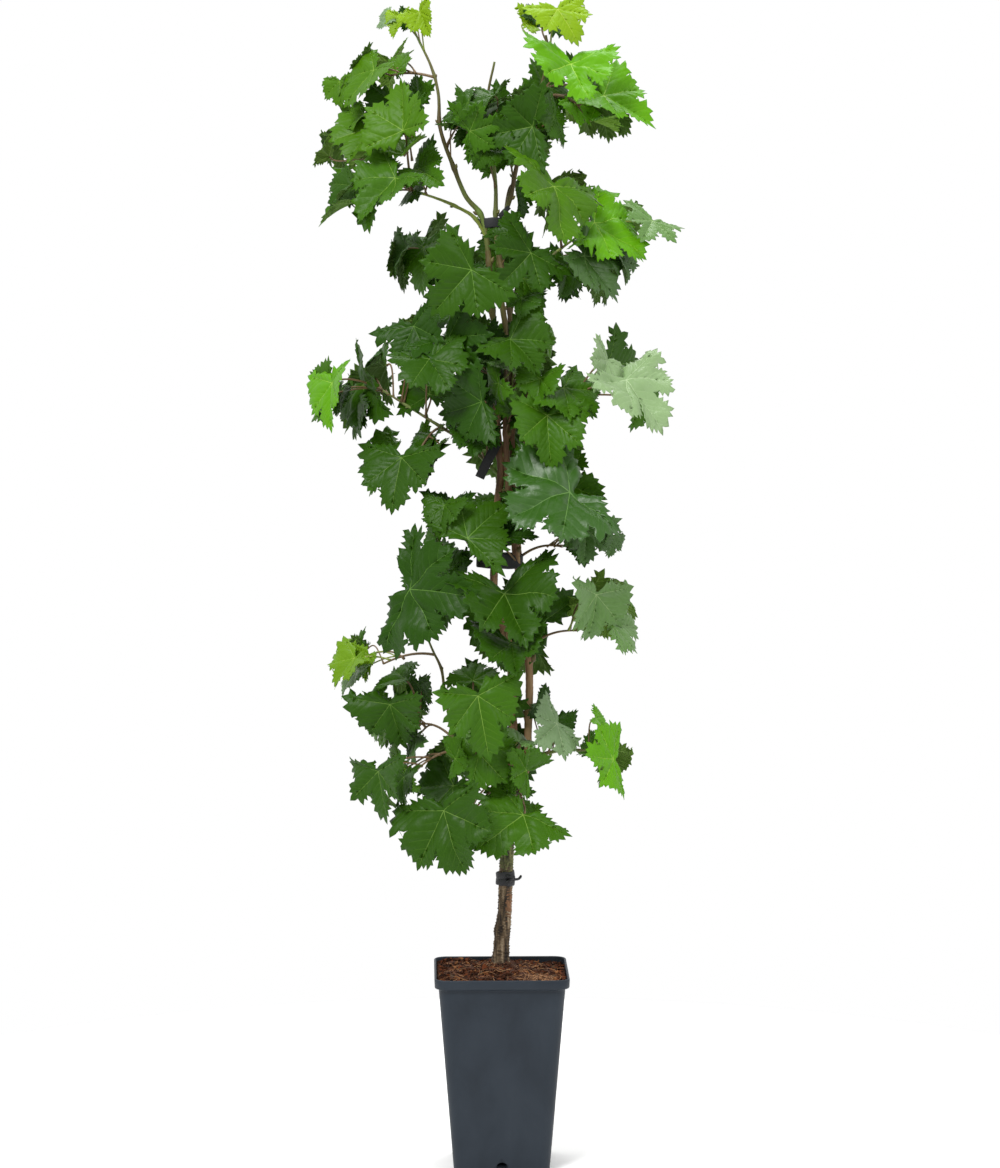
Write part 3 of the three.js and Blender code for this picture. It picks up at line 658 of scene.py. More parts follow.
def petiole(heap, mat, base, base_radius, junction, along, normal, seed, radius=0.00105):
    """A leaf stalk from a limb to the leaf's junction."""
    rng = np.random.default_rng(seed)
    gap = np.linalg.norm(junction - base)
    out = unit(junction - base + UP * 0.45 * gap)
    start = base + unit(np.array([out[0], out[1], out[2] * 0.2])) * base_radius * 0.5
    arrive = unit(along * 0.7 + normal * 0.45)
    p1 = start + out * gap * 0.33 + rng.normal(0, 0.02, 3) * gap
    p2 = junction - arrive * min(gap * 0.30, 0.014)
    t = np.linspace(0, 1, 15)[:, None]
    path = (1 - t) ** 3 * start + 3 * (1 - t) ** 2 * t * p1 + 3 * (1 - t) * t**2 * p2 + t**3 * junction
    s = t[:, 0]
    r = radius * (1 + 0.7 * np.exp(-(s / 0.06) ** 2) + 0.35 * np.exp(-((1 - s) / 0.05) ** 2))
    v, caps, quads = tube(path, r, 8)
    heap.add(v, caps, quads, heap.slot(mat), heap.slot(mat))


masses = {}
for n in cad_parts:
    if n.startswith("leaves_"):
        masses[n[7:]] = Heap()
stalks = Heap()

twigs = Heap()

# what grows in each mass: the tones dealt to its spray, how many leaves, the largest one in millimetres. The tones
# carry light as well as leaf colour: the dark greens of the core and back masses are painted shade inside the crown,
# the grey-green tones are painted sheen, and the yellow-greens at the crown's top are partly young leaf colour and
# partly painted light from above
GROWTH = {
    # crown tips: yellow-green of young leaves with painted light from above
    "crown_tip_left": (("yg", "gp"), 3, 30),
    "crown_tip_right": (("yg",), 2, 48),
    "top_left_spike": (("md", "ml"), 3, 54),
    "top_left_broad": (("md", "bm"), 3, 62),
    "top_left_mid": (("md", "lw"), 3, 58),
    "top_left_large": (("ml", "lw"), 4, 68),
    "top_core": (("lw", "ld", "ml"), 13, 56),
    "top_right_crest": (("bm", "br"), 3, 70),
    "top_right_arm": (("bm", "gg"), 3, 72),
    "top_right_shoulder": (("bm", "gg"), 3, 62),
    "top_right_hang": (("md", "gg"), 2, 86),
    "shoulder_left": (("ml", "sh"), 3, 54),
    "shoulder_front": (("ld", "lw"), 3, 62),
    "shoulder_core": (("lw", "gp"), 3, 56),
    "shoulder_right": (("sh", "ld"), 3, 62),
    "left_wing_outer": (("bm",), 1, 56),
    "left_wing_inner": (("lw", "ml"), 3, 66),
    "left_shoulder_low": (("lw",), 3, 60),
    "right_wing": (("gl",), 2, 72),
    # core masses: darker greens as painted shade deep in the crown
    "core_upper_left": (("dk",), 4, 60),
    "core_upper_right": (("ld", "gg"), 3, 56),
    "core_left": (("dk", "ml"), 4, 58),
    "core_right": (("ml", "bm"), 5, 60),
    "mid_left_broad": (("dk", "ld"), 2, 92),
    "mid_left_fan": (("lw", "ld"), 4, 66),
    "mid_core": (("ld", "dk"), 5, 62),
    "mid_front_broad": (("lw",), 3, 88),
    "mid_right_broad": (("sl",), 1, 100),
    "mid_right_low": (("sh", "gg"), 3, 42),
    "mid_right_outer": (("gg",), 2, 66),
    "low_left_elbow": (("lw", "sh"), 4, 60),
    "low_left_tail": (("lw",), 2, 56),
    "low_left_tip": (("yb", "gg"), 3, 44),
    "low_core": (("ml", "gg"), 7, 48),
    "low_front": (("ml",), 3, 68),
    "low_right_drop": (("gp",), 2, 46),
    "low_right_sprig": (("bm",), 2, 52),
    "foot_left": (("lw",), 2, 84),
    "foot_right": (("ml",), 2, 64),
    # back masses: darker greens as painted shade behind the crown
    "back_crown": (("lw", "md", "dk"), 11, 74),
    "back_shoulder": (("lw", "ml", "dk"), 8, 78),
    "back_core": (("lw", "md", "dk"), 8, 78),
    "back_middle": (("lw", "ml", "dk"), 11, 80),
    "back_low": (("lw", "md", "dk"), 7, 74),
    "back_foot": (("lw", "dk"), 4, 70),
}
PROPOSALS = 110


def solid_points(node):
    """The corners of a CAD solid, in metres."""
    return np.array([v.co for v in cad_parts[node].data.vertices], float)


def outline_ring(points):
    """The convex outline of points in a plane, anticlockwise."""
    order = sorted(map(tuple, points))

    def chain(line):
        kept = []
        for p in line:
            while len(kept) > 1 and (kept[-1][0] - kept[-2][0]) * (p[1] - kept[-2][1]) <= (kept[-1][1] - kept[-2][1]) * (p[0] - kept[-2][0]):
                kept.pop()
            kept.append(p)
        return kept[:-1]

    return np.array(chain(order) + chain(order[::-1]))


def outside(points, ring):
    """How far points lie outside a convex ring; less than nothing inside it."""
    edge = np.roll(ring, -1, 0) - ring
    out = np.stack([edge[:, 1], -edge[:, 0]], 1) / np.maximum(np.linalg.norm(edge, axis=1), 1e-9)[:, None]
    return ((points[:, None] - ring[None]) * out[None]).sum(2).max(1)


def grow(mass, tones, count, largest, inner):
    """The twig and the leaves of one mass. A twig leaves the nearest limb where the mass is far from
    one. From its nodes, or the limb's own, stalks reach for parts of the mass that have no leaf yet,
    and each blade that opens stays inside the mass's solid as the front sees it."""
    solid = solid_points("leaves_" + mass)
    low, high = solid.min(0), solid.max(0)
    ring = outline_ring(solid[:, [0, 2]])
    rng = np.random.default_rng([sum(map(ord, mass)), len(mass), 11 if inner else 5])
    behind = mass.startswith("back_")
    centre = (low + high) / 2
    foot, foot_radius = nearest_limb(centre - UP * (0.25 * (high[2] - low[2]) + 0.012))
    gap = centre - foot
    nodes = None
    if math.hypot(gap[0], gap[2]) > 0.060 and not behind:
        t = np.linspace(0, 1, 16)[:, None]
        tip = foot + gap * 0.62
        knee = foot + gap * 0.30 + UP * 0.14 * np.linalg.norm(gap) + rng.normal(0, 0.05, 3) * np.linalg.norm(gap)
        path = (1 - t) ** 2 * foot + 2 * (1 - t) * t * knee + t**2 * tip
        nodes = path[7:]
        if not inner:
            v, caps, quads = tube(path, (0.00165 - 0.0006 * t[:, 0]), 8)
            twigs.add(v, caps, quads, twigs.slot(petiole_red), twigs.slot(petiole_red))
    goals = rng.uniform(low[[0, 2]], high[[0, 2]], (900, 2))
    goals = goals[outside(goals, ring) < 0]
    served = np.zeros(len(goals), bool)
    grown = []
    for i in range(count):
        best = None
        for _ in range(PROPOSALS):
            size = largest * MM * (rng.uniform(0.88, 1.0) if i == 0 and not inner else rng.uniform(0.50, 0.86))
            open_goals = np.flatnonzero(~served)
            goal = goals[open_goals[rng.integers(len(open_goals))]] if len(open_goals) else goals[rng.integers(len(goals))]
            depth = low[1] + (high[1] - low[1]) * min(1, max(0, (i + rng.uniform(0, 1)) / count))
            if inner:
                depth = max(centre[1], -0.02) + rng.uniform(0.020, 0.080)
            at = np.array([goal[0], depth, goal[1]])
            if nodes is None:
                node, radius = nearest_limb(at - UP * 0.035)
            else:
                node, radius = nodes[rng.integers(len(nodes))], 0.0012
            outward = unit((at - np.array([0.004, 0, at[2]])) * np.array([1, 1, 0]) + np.array([0, 0.03 if behind else -0.05, 0]))
            normal = unit(outward * 0.9 + UP * rng.uniform(0.0, 0.8) + rng.normal(0, 0.28, 3))
            away = unit(at - node + np.array([0, 0, 1e-6]))
            along = away * rng.uniform(0, 1) + outward * rng.uniform(-0.1, 0.5) - UP * rng.uniform(0.0, 1.1) + rng.normal(0, 0.35, 3)
            along = unit(along - np.dot(along, normal) * normal)
            side = np.cross(normal, along)
            middle = at[[0, 2]]
            axes = np.stack([along[[0, 2]] * 0.66, side[[0, 2]] * 0.74], 1) * size
            if abs(np.linalg.det(axes)) < 0.08 * size * size:
                continue
            a = np.linspace(0, 2 * math.pi, 20, endpoint=False)
            rim = middle + (axes @ np.stack([np.cos(a), np.sin(a)])).T
            spill = np.maximum(0, outside(rim, ring) - (0.014 if "core" in mass else 0.004)).sum()
            hit = ((np.linalg.solve(axes, (goals - middle).T) ** 2).sum(0)) < 1
            stalk = np.linalg.norm(at - along * size * 0.33 - node)
            score = (hit & ~served).mean() - (0.03 if "core" in mass else 0.10) * (hit & served).mean() - 6.0 * spill - 1.2 * max(0, stalk - 0.085) - 0.6 * max(0, 0.02 - stalk)
            if best is None or score > best[0]:
                best = (score, at - along * size * 0.33, along, normal, size, node, radius, hit)
        if best is None or (i and best[0] < -0.05):
            continue
        served |= best[7]
        grown.append(best[1:7])
    for i, (junction, along, normal, size, node, radius) in enumerate(grown):
        serial = 40 * sum(map(ord, mass)) + 2 * i + inner
        # leaves inside the crown take the painted shade tones
        tone = PAINTED_SHADE_TONES[int(rng.integers(len(PAINTED_SHADE_TONES)))] if inner else tones[0 if i == 0 or rng.uniform() < 0.6 else int(rng.integers(len(tones)))]
        shape = rng.normal(1, 0.07, 5), rng.normal(0, 5, 5), rng.uniform(4, 32), rng.uniform(0.08, 0.24), rng.uniform(8, 34)
        junction = junction + leaf_mesh(masses[mass], junction, along, normal, size, tone, serial, *shape, deep=bool(rng.uniform() < 0.12))
        petiole(stalks, petiole_green if tone in ("yg", "yb", "br", "gg") else petiole_red, node, radius, junction, along, normal, serial, 0.0008 if size < 0.035 else 0.00105)


for mass, (tones, count, largest) in GROWTH.items():
    grow(mass, tones, count, largest, 0)
    if not mass.startswith("back_"):
        grow(mass, tones, 3 if "core" in mass else 2 if largest > 40 else 1, min(largest, 74), 1)

for mass, heap in masses.items():
    ob = heap.make("leafage_" + mass)
    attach(ob, "root")
    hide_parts("leaves_" + mass)
ob = twigs.make("twigs")
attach(ob, "root")
ob = stalks.make("leaf_stalks")
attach(ob, "root")

# ---------------------------------------------------------------- canes and shoots

for limb, (line, s, taper) in limb_lines.items():
    rng = np.random.default_rng(sum(map(ord, limb)))
    thick = LIMBS[limb][0] > 2.5
    sides = 20 if thick else 14
    spacing = rng.uniform(0.052, 0.062) if thick else 0.034
    nodes_at = np.arange(spacing * 0.7, s[-1], spacing) + rng.uniform(-0.006, 0.006, len(np.arange(spacing * 0.7, s[-1], spacing)))
    swell = sum(np.exp(-(((s - a) / 0.0042) ** 2)) * 0.30 + np.exp(-(((s - a - 0.006) / 0.006) ** 2)) * 0.10 for a in nodes_at)
    radius = taper * (1 + swell)
    path = line.copy()
    zig = np.interp(s, nodes_at, np.resize([1.0, -1.0], len(nodes_at))) * 0.0009
    path[:, 0] += zig
    relief = lump(sum(map(ord, limb)), (len(s), sides), 0.06, (0.012, 6)) * taper[:, None]
    v, caps, quads = tube(path, radius, sides, relief)
    heap = Heap()
    # brown wood low down, olive and green towards the top
    woods = [heap.slot(m) for m in ((bark_brown, cane_olive, shoot_green) if thick else (shoot_green, shoot_green, petiole_green))]
    height = path[:, 2]
    rank = np.clip((height > (0.86 if thick else 0.0)).astype(int) + (height > 1.02).astype(int), 0, 2)
    ring_slot = np.array(woods)[rank]
    mat = cane_olive if thick else shoot_green
    heap.add(v, caps, quads, woods[0], ring_slot[np.minimum(quads.min(1) // sides, len(s) - 1)])
    # a bud in the corner of each node
    t, u, w = rings(path)
    for i, a in enumerate(nodes_at[:-1]):
        k = int(np.argmin(np.abs(s - a)))
        outward = unit(u[k] * (1 if i % 2 else -1) + w[k] * 0.3)
        b0 = path[k] + outward * radius[k] * 0.7
        b1 = b0 + outward * radius[k] * 0.9 + t[k] * radius[k] * 1.3
        bp = np.linspace(b0, b1, 6)
        bv, bc, bq = tube(bp, radius[k] * np.array([0.55, 0.62, 0.6, 0.48, 0.3, 0.08]), 8)
        heap.add(bv, bc, bq, heap.slot(mat), heap.slot(mat))
    ob = heap.make("wood_" + limb)
    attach(ob, "root")
    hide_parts(limb)

# ---------------------------------------------------------------- trunk

TRUNK = [[0, 10, 218], [0, 10, 232], [1, 10, 248], [3, 10, 268], [4.5, 9, 289], [5, 8, 310], [6, 8, 335], [7, 7, 359], [8.5, 6, 387], [11, 4, 410], [11.5, 2, 427], [11.5, 2, 438]]
line, s = spline(np.array(TRUNK) * MM, 0.0011)
z = line[:, 2] * 1000
radius = np.interp(z, [217, 224, 236, 252, 300, 340, 370, 392, 408, 420, 431, 439], [10.6, 10.2, 9.0, 8.0, 7.6, 7.5, 7.9, 8.6, 10.2, 12.0, 11.6, 6.5]) * MM
sides = 56
relief = lump(7, (len(s), sides), 0.0009, (0.018, 4)) + lump(8, (len(s), sides), 0.00028, (0.012, 12)) * np.interp(z, [218, 260, 380, 440], [1.4, 0.8, 0.9, 2.4])[:, None]
ang = np.arange(sides) / sides * 2 * math.pi
strips = np.sin(ang[None, :] * 11 + 0.9 * np.sin(s[:, None] * 42) + 0.8 * lump(9, (len(s), sides), 1.0, (0.045, 3)))
relief += (np.abs(strips) ** 0.7 - 0.6) * 0.00062
# the old graft stands out on one side, and pruning stubs near the head
knob = np.exp(-(((z[:, None] - 262) / 9) ** 2)) * np.clip(np.cos(ang[None, :] - 0.6), 0, 1) ** 2 * 0.0022
relief += knob
t, u, w = rings(line)
# the foot spreads into a few low ridges
facing = np.cos(ang)[None, :, None] * u[:, None] + np.sin(ang)[None, :, None] * w[:, None]
ridge = np.clip(np.cos(ang[None, :] * 4 + 0.8), 0, 1) * np.exp(-((z[:, None] - 217) / 15) ** 2)
relief += ridge * 0.0016
v, caps, quads = tube(line, radius, sides, relief)
heap = Heap()
# mossy green towards the head, and a healed wound where the bark has peeled to warm wood
drift = lump(10, (len(s), sides), 1.0, (0.008, 6))[:-1]
zq, front = z[:-1, None], facing[:-1] @ unit(np.array([0.62, -0.78, 0.0]))
zone = np.full((len(s) - 1, sides), heap.slot(trunk_bark))
zone[zq + 9 * drift > 331] = heap.slot(trunk_moss)
zone[((zq - 292) / 15) ** 2 + ((1 - front) / 0.20) ** 2 + 0.9 * drift + 0.5 * np.sin(zq * 0.9 + 5 * front) < 0.75] = heap.slot(trunk_wound)
heap.add(v, caps, quads, heap.slot(trunk_bark), zone.ravel())
rng = np.random.default_rng(77)
for spot_z, turn_at, reach, thick in ((424, 3.3, 13, 6.2), (418, 0.4, 9, 5.5), (432, 5.0, 8, 5.0), (404, 2.2, 6, 4.2), (300, 1.0, 3.5, 3.2), (346, 4.0, 3.2, 3.0)):
    k = int(np.argmin(np.abs(z - spot_z)))
    outward = math.cos(turn_at) * u[k] + math.sin(turn_at) * w[k]
    b0 = line[k]
    b1 = line[k] + outward * (radius[k] + reach * MM * 0.5) + UP * reach * MM * 0.35
    bp, bs = spline([b0, (b0 + b1) / 2 + UP * 0.001, b1], 0.0012)
    rr = np.interp(bs / bs[-1], [0, 0.5, 0.8, 0.94, 1.0], [1.0, 1.0, 0.95, 0.8, 0.45]) * thick * MM
    bv, bc, bq = tube(bp, rr, 26, lump(int(spot_z), (len(bp), 26), 0.0006, (0.004, 6)))
    knot = heap.slot(trunk_moss if spot_z > 380 and spot_z % 3 else trunk_bark)
    heap.add(bv, bc, bq, knot, knot)
ob = heap.make("trunk_bark")
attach(ob, "root")
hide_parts("trunk")

# ---------------------------------------------------------------- ties

tie_black = material("tie_rubber", (30, 31, 34), 0.58, 0.10, 700, 0.5, 0.0003, 5)


def tie_band(name, centre, half_wide, half_deep, wall, tall, tilt, node=None):
    """A band of soft tie drawn round the stems: a rounded strip closed into one ring, rippled and squeezed a little."""
    n, m = 120, 14
    a = np.linspace(0, 2 * math.pi, n, endpoint=False)
    prof = np.linspace(0, 2 * math.pi, m, endpoint=False)
    px = np.sign(np.cos(prof)) * np.abs(np.cos(prof)) ** 0.6 * wall / 2
    pz = np.sign(np.sin(prof)) * np.abs(np.sin(prof)) ** 0.35 * tall / 2
    verts = []
    for k, t in enumerate(a):
        c = np.array([half_wide * math.cos(t), half_deep * math.sin(t)])
        nrm = unit(np.array([math.cos(t) / half_wide, math.sin(t) / half_deep]))
        ripple = 0.35 * math.sin(3 * t + 0.7) + 0.2 * math.sin(7 * t)
        squeeze = 1 - 0.10 * math.cos(2 * t + 0.5)
        for x, zz in zip(px, pz):
            verts.append([c[0] + nrm[0] * (x - wall * 0.5), c[1] + nrm[1] * (x - wall * 0.5), zz * squeeze + ripple])
    verts = np.array(verts)
    tl = math.radians(tilt)
    x, y, zc = verts.T
    verts = np.stack([x * math.cos(tl) - zc * math.sin(tl), y, x * math.sin(tl) + zc * math.cos(tl)], 1)
    verts = (verts + np.array(centre)) * MM
    i, j = np.meshgrid(np.arange(n), np.arange(m), indexing="ij")
    q = np.stack([i * m + j, ((i + 1) % n) * m + j, ((i + 1) % n) * m + (j + 1) % m, i * m + (j + 1) % m], -1).reshape(-1, 4)
    ob = piece(name, verts, q, [tie_black])
    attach(ob, "root")
    if node:
        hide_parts(node)


tie_band("tie_band_foot", [4.9, 8.3, 325], 10.6, 10.6, 2.2, 7.6, 7, "tie_foot")
tie_band("tie_band_foot_lower", [4.9, 8.3, 317], 10.8, 10.8, 2.2, 7.2, -5)
tie_knot = Heap()
knot_at = np.array([9.5, -1.5, 321.5])
for route, thick, wide in (
    ([[-4.5, 1.0, 2], [-1, -1.6, 3.2], [3.2, -1.4, 1.5], [5, 1.0, -2]], 2.1, 1.5),
    ([[-4.0, 0.6, -3], [-0.5, -2.4, -2.2], [3.0, -2.0, 0.8], [5.2, 0.6, 3]], 2.0, 1.4),
    ([[2.0, -1.0, 0.0], [6.0, -0.5, -0.6], [10.5, 0.8, 0.2], [13.5, 1.6, 3.6]], 1.4, 2.2),
):
    kp, ks = spline((np.array(route) + knot_at) * MM, 0.0008)
    kr = np.interp(ks / ks[-1], [0, 0.12, 0.88, 1.0], [0.7, 1.0, 1.0, 0.7]) * thick * MM
    kv, kc, kq = tube(kp, kr, 16, lump(int(thick * 100), (len(kp), 16), 0.0003, (0.004, 4)))
    tie_knot.add(kv, kc, kq, tie_knot.slot(tie_black), tie_knot.slot(tie_black))
# a loose strap that slants across the canes a little above the middle tie
for route in ([[-24, -13, 772], [-17, -15, 787], [-10, -14, 800], [-4, -11, 811]], [[-2, -11, 1059], [3, -12, 1065], [9, -10, 1070]]):
    kp, ks = spline(np.array(route) * MM, 0.0015)
    t, u, w = rings(kp)
    across = np.cross(t, np.array([0, -1.0, 0]))
    across /= np.linalg.norm(across, axis=1)[:, None]
    face = np.cross(across, t)
    tall = (5.2 if route[0][2] < 900 else 2.6) * MM
    ring = [(-1, -0.10), (-0.8, -0.16), (0.8, -0.16), (1, -0.10), (1, 0.10), (0.8, 0.16), (-0.8, 0.16), (-1, 0.10)]
    sv = np.concatenate([kp[:, None] + across[:, None] * a * tall + face[:, None] * b * tall * 0.9 for a, b in ring], 1).reshape(-1, 3)
    m = len(ring)
    i, j = np.meshgrid(np.arange(len(kp) - 1), np.arange(m), indexing="ij")
    sq = np.stack([i * m + j, (i + 1) * m + j, (i + 1) * m + (j + 1) % m, i * m + (j + 1) % m], -1).reshape(-1, 4)
    last = (len(kp) - 1) * m
    ends = np.array([[0, 1, 2, 3], [0, 3, 4, 7], [4, 5, 6, 7]])
    sq = np.vstack([sq, ends, ends[:, ::-1] + last])
    tie_knot.add(sv, (), sq, 0, tie_knot.slot(tie_black))
ob = tie_knot.make("tie_straps")
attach(ob, "root")
tie_band("tie_band_middle", [-1.6, 0, 679], 26, 12.6, 1.3, 16, -2, "tie_middle")
tie_band("tie_band_top", [-7.6, 0, 1053], 17.6, 11.2, 1.2, 10, 3, "tie_top")

# ---------------------------------------------------------------- pot

pot_low, pot_high = (np.array(c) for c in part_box("pot"))
HEIGHT = (pot_high[2] - pot_low[2]) * 1000
RIM = (pot_high[0] - pot_low[0]) * 1000 / 2


def rounded_square(half, corner, per=14):
    """One turn round a square with rounded corners, from the middle of a side."""
    pts = []
    corner = min(corner, half - 0.1)
    for q in range(4):
        cx, cy = [(1, 1), (-1, 1), (-1, -1), (1, -1)][q]
        cx, cy = cx * (half - corner), cy * (half - corner)
        flat0 = np.array([math.cos(q * math.pi / 2), math.sin(q * math.pi / 2)]) * half
        for t in np.linspace(0, 1, 8, endpoint=False):
            a = q * math.pi / 2
            start = np.array([cx + corner * math.cos(a), cy + corner * math.sin(a)])
            pts.append(flat0 + (start - flat0) * t)
        for t in np.linspace(0, 1, per, endpoint=False):
            a = q * math.pi / 2 + t * math.pi / 2
            pts.append([cx + corner * math.cos(a), cy + corner * math.sin(a)])
        a = (q + 1) * math.pi / 2
        flat1 = np.array([math.cos(a), math.sin(a)]) * half
        end = np.array([cx + corner * math.cos(a), cy + corner * math.sin(a)])
        for t in np.linspace(0, 1, 8, endpoint=False):
            pts.append(end + (flat1 - end) * t)
    return np.array(pts)


foot, body, wall, floor_t = 53.5, 70.25, 2.4, 3.0
stations = [  # (height, half width, corner), up the outside and down the inside
    (0.0, foot - 1.3, 10.5), (0.35, foot - 0.5, 11.2), (1.2, foot, 11.8), (4, foot + 0.25, 12),
]
for z_at in np.linspace(10, 205, 26):
    stations.append((z_at, foot + (body - foot) * z_at / (HEIGHT - 11.5), 12 + z_at / 205))
stations += [
    (HEIGHT - 12.6, body - 0.2, 13), (HEIGHT - 11.9, body + 0.2, 13), (HEIGHT - 11.5, body + 1.2, 13.2),
    (HEIGHT - 10.9, RIM - 1.6, 13.6), (HEIGHT - 10.3, RIM - 0.7, 14), (HEIGHT - 9.4, RIM - 0.35, 14.2), (HEIGHT - 5, RIM - 0.15, 14.2), (HEIGHT - 1.3, RIM, 14.2),
    (HEIGHT - 0.45, RIM - 0.3, 14), (HEIGHT, RIM - 0.95, 13.6), (HEIGHT, RIM - 1.7, 13), (HEIGHT - 0.5, RIM - 2.3, 12.4), (HEIGHT - 1.6, RIM - 2.5, 12.2),
    (HEIGHT - 9, RIM - 2.9, 12), (HEIGHT - 10.6, RIM - 3.6, 11.6), (HEIGHT - 11.6, body - wall, 11),
]
for z_at in np.linspace(200, floor_t + 6, 14):
    stations.append((z_at, foot + (body - foot) * z_at / (HEIGHT - 11.5) - wall, 10.5))
stations += [(floor_t + 4.5, foot - wall - 0.8, 9), (floor_t + 3.2, foot - wall - 3, 7)]
loops = []
for z_at, half, corner in stations:
    ring = rounded_square(half, corner)
    loops.append(np.column_stack([ring, np.full(len(ring), z_at)]))
m = len(loops[0])
verts = np.vstack(loops)
n = len(loops)
i, j = np.meshgrid(np.arange(n - 1), np.arange(m), indexing="ij")
quads = np.stack([i * m + j, i * m + (j + 1) % m, (i + 1) * m + (j + 1) % m, (i + 1) * m + j], -1).reshape(-1, 4)
centre_low, centre_in = len(verts), len(verts) + 1
verts = np.vstack([verts, [[0, 0, 1.4]], [[0, 0, floor_t + 3.2]]])
k = np.arange(m)
caps = np.vstack([
    np.stack([np.full(m, centre_low), (k + 1) % m, k], 1),
    np.stack([np.full(m, centre_in), (n - 1) * m + k, (n - 1) * m + (k + 1) % m], 1),
])
pot_plastic = material("pot_plastic", (36, 42, 50), 0.50, 0.10, 900, 0.25, 0.00025, 4, specular=0.2)
patched(pot_plastic, [(0.25, (32, 38, 45)), (0.52, (39, 46, 54)), (0.80, (45, 52, 60))], 22, (1, 1, 0.6), 8, 0.3)
pot = piece("pot_shell", verts * MM, [caps, quads], [pot_plastic])
# an arch at the foot of each side
cutters = []
for q in range(4):
    a = q * math.pi / 2
    out = np.array([math.cos(a), math.sin(a), 0])
    across = np.array([-math.sin(a), math.cos(a), 0])
    arch = [(6.25, -2.0), (6.25, 6.0)] + [(6.25 * math.cos(t), 6.0 + 5.0 * math.sin(t)) for t in np.linspace(0.15, math.pi - 0.15, 12)] + [(-6.25, 6.0), (-6.25, -2.0)]
    near = np.array([out * 46 + across * x + UP * zz for x, zz in arch])
    away = np.array([out * 60 + across * x + UP * zz for x, zz in arch])
    c = len(arch)
    fv = np.vstack([near, away, near.mean(0), away.mean(0)]) * MM
    idx = np.arange(c)
    nxt = (idx + 1) % c
    ft = np.vstack([np.stack([np.full(c, 2 * c), nxt, idx], 1), np.stack([np.full(c, 2 * c + 1), idx + c, nxt + c], 1)])
    fq = np.stack([idx, nxt, nxt + c, idx + c], 1)
    cutters.append((fv, ft, fq))
cut = Heap()
for fv, ft, fq in cutters:
    cut.add(fv, ft, fq, cut.slot(pot_plastic), 0)
cutter = cut.make("arch_cutter")
mod = pot.modifiers.new("arches", "BOOLEAN")
mod.object = cutter
mod.operation = "DIFFERENCE"
mod.solver = "EXACT"
bpy.context.view_layer.update()
done = bpy.data.meshes.new_from_object(pot.evaluated_get(bpy.context.evaluated_depsgraph_get()))
pot.modifiers.clear()
pot.data = done
bpy.data.objects.remove(cutter)
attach(pot, "root")
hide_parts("pot")

# ---------------------------------------------------------------- growing mix

soil_low, soil_high = (np.array(c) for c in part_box("growing_medium"))
inner = RIM - 3.4
rng = np.random.default_rng(21)
waves = [(rng.uniform(0.03, 0.16), rng.uniform(0, 6.3), rng.uniform(0, 6.3), rng.uniform(0, 6.3)) for _ in range(16)]


def soil_height(x, y):
    """Height of the mix, in millimetres: heaped round the trunk, lower at the back right."""
    h = 214.6 + 5.6 * np.exp(-(x * x + (y - 6) ** 2) / 2100) + 1.2 + 5.0 * np.exp(-(x * x + (y - 10) ** 2) / 330)
    for f, a, b, c in waves:
        h = h + 0.55 * np.sin(f * x * math.cos(a) * 1.6 + f * y * math.sin(a) * 1.6 + b) * np.cos(f * (x - y) + c)
    return h - 2.6 * np.exp(-((x - 60) ** 2 + (y - 60) ** 2) / 1300) - 1.0 * np.exp(-((x + 62) ** 2 + (y - 55) ** 2) / 900)


grid_n = 84
g = np.linspace(-1, 1, grid_n)
gx, gy = np.meshgrid(g, g, indexing="ij")


def squircle(x, y, half, corner):
    """A unit square's point on a square with rounded corners."""
    px, py = x * half, y * half
    over_x, over_y = np.maximum(np.abs(px) - (half - corner), 0), np.maximum(np.abs(py) - (half - corner), 0)
    reach = np.maximum(over_x, over_y)
    length = np.hypot(over_x, over_y)
    k = np.where(length > 1e-9, reach / np.maximum(length, 1e-9), 1)
    return np.sign(px) * (np.minimum(np.abs(px), half - corner) + over_x * k), np.sign(py) * (np.minimum(np.abs(py), half - corner) + over_y * k)


sx, sy = squircle(gx, gy, inner, 11)
sz = soil_height(sx, sy) + rng.normal(0, 0.35, sx.shape)
bx, by = squircle(gx, gy, body - wall - 0.9, 10)
top = np.stack([sx, sy, sz], -1).reshape(-1, 3)
low = np.stack([bx, by, np.full_like(bx, 208.9)], -1).reshape(-1, 3)
i, j = np.meshgrid(np.arange(grid_n - 1), np.arange(grid_n - 1), indexing="ij")
a = (i * grid_n + j).ravel()
up_q = np.stack([a, a + grid_n, a + grid_n + 1, a + 1], 1)
shift = len(top)
rim = np.concatenate([np.arange(grid_n - 1), np.arange(grid_n - 1) * grid_n + grid_n - 1, (grid_n * grid_n - 1) - np.arange(grid_n - 1), (grid_n - 1) * grid_n - np.arange(grid_n - 1) * grid_n])
nxt = np.roll(rim, -1)
side_q = np.stack([rim, nxt, nxt + shift, rim + shift], 1)
soil_mat = material("soil_mix", (52, 31, 20), 0.95, 0.05, 500, 1.0, 0.0015, 10, specular=0.08)
patched(soil_mat, [(0.35, (32, 19, 12)), (0.55, (58, 34, 21)), (0.75, (80, 48, 29))], 160, (1, 1, 1), 8)
soil = piece("soil_bed", np.vstack([top, low]) * MM, [np.vstack([up_q, up_q[:, ::-1] + shift, side_q])], [soil_mat])
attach(soil, "root")
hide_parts("growing_medium")

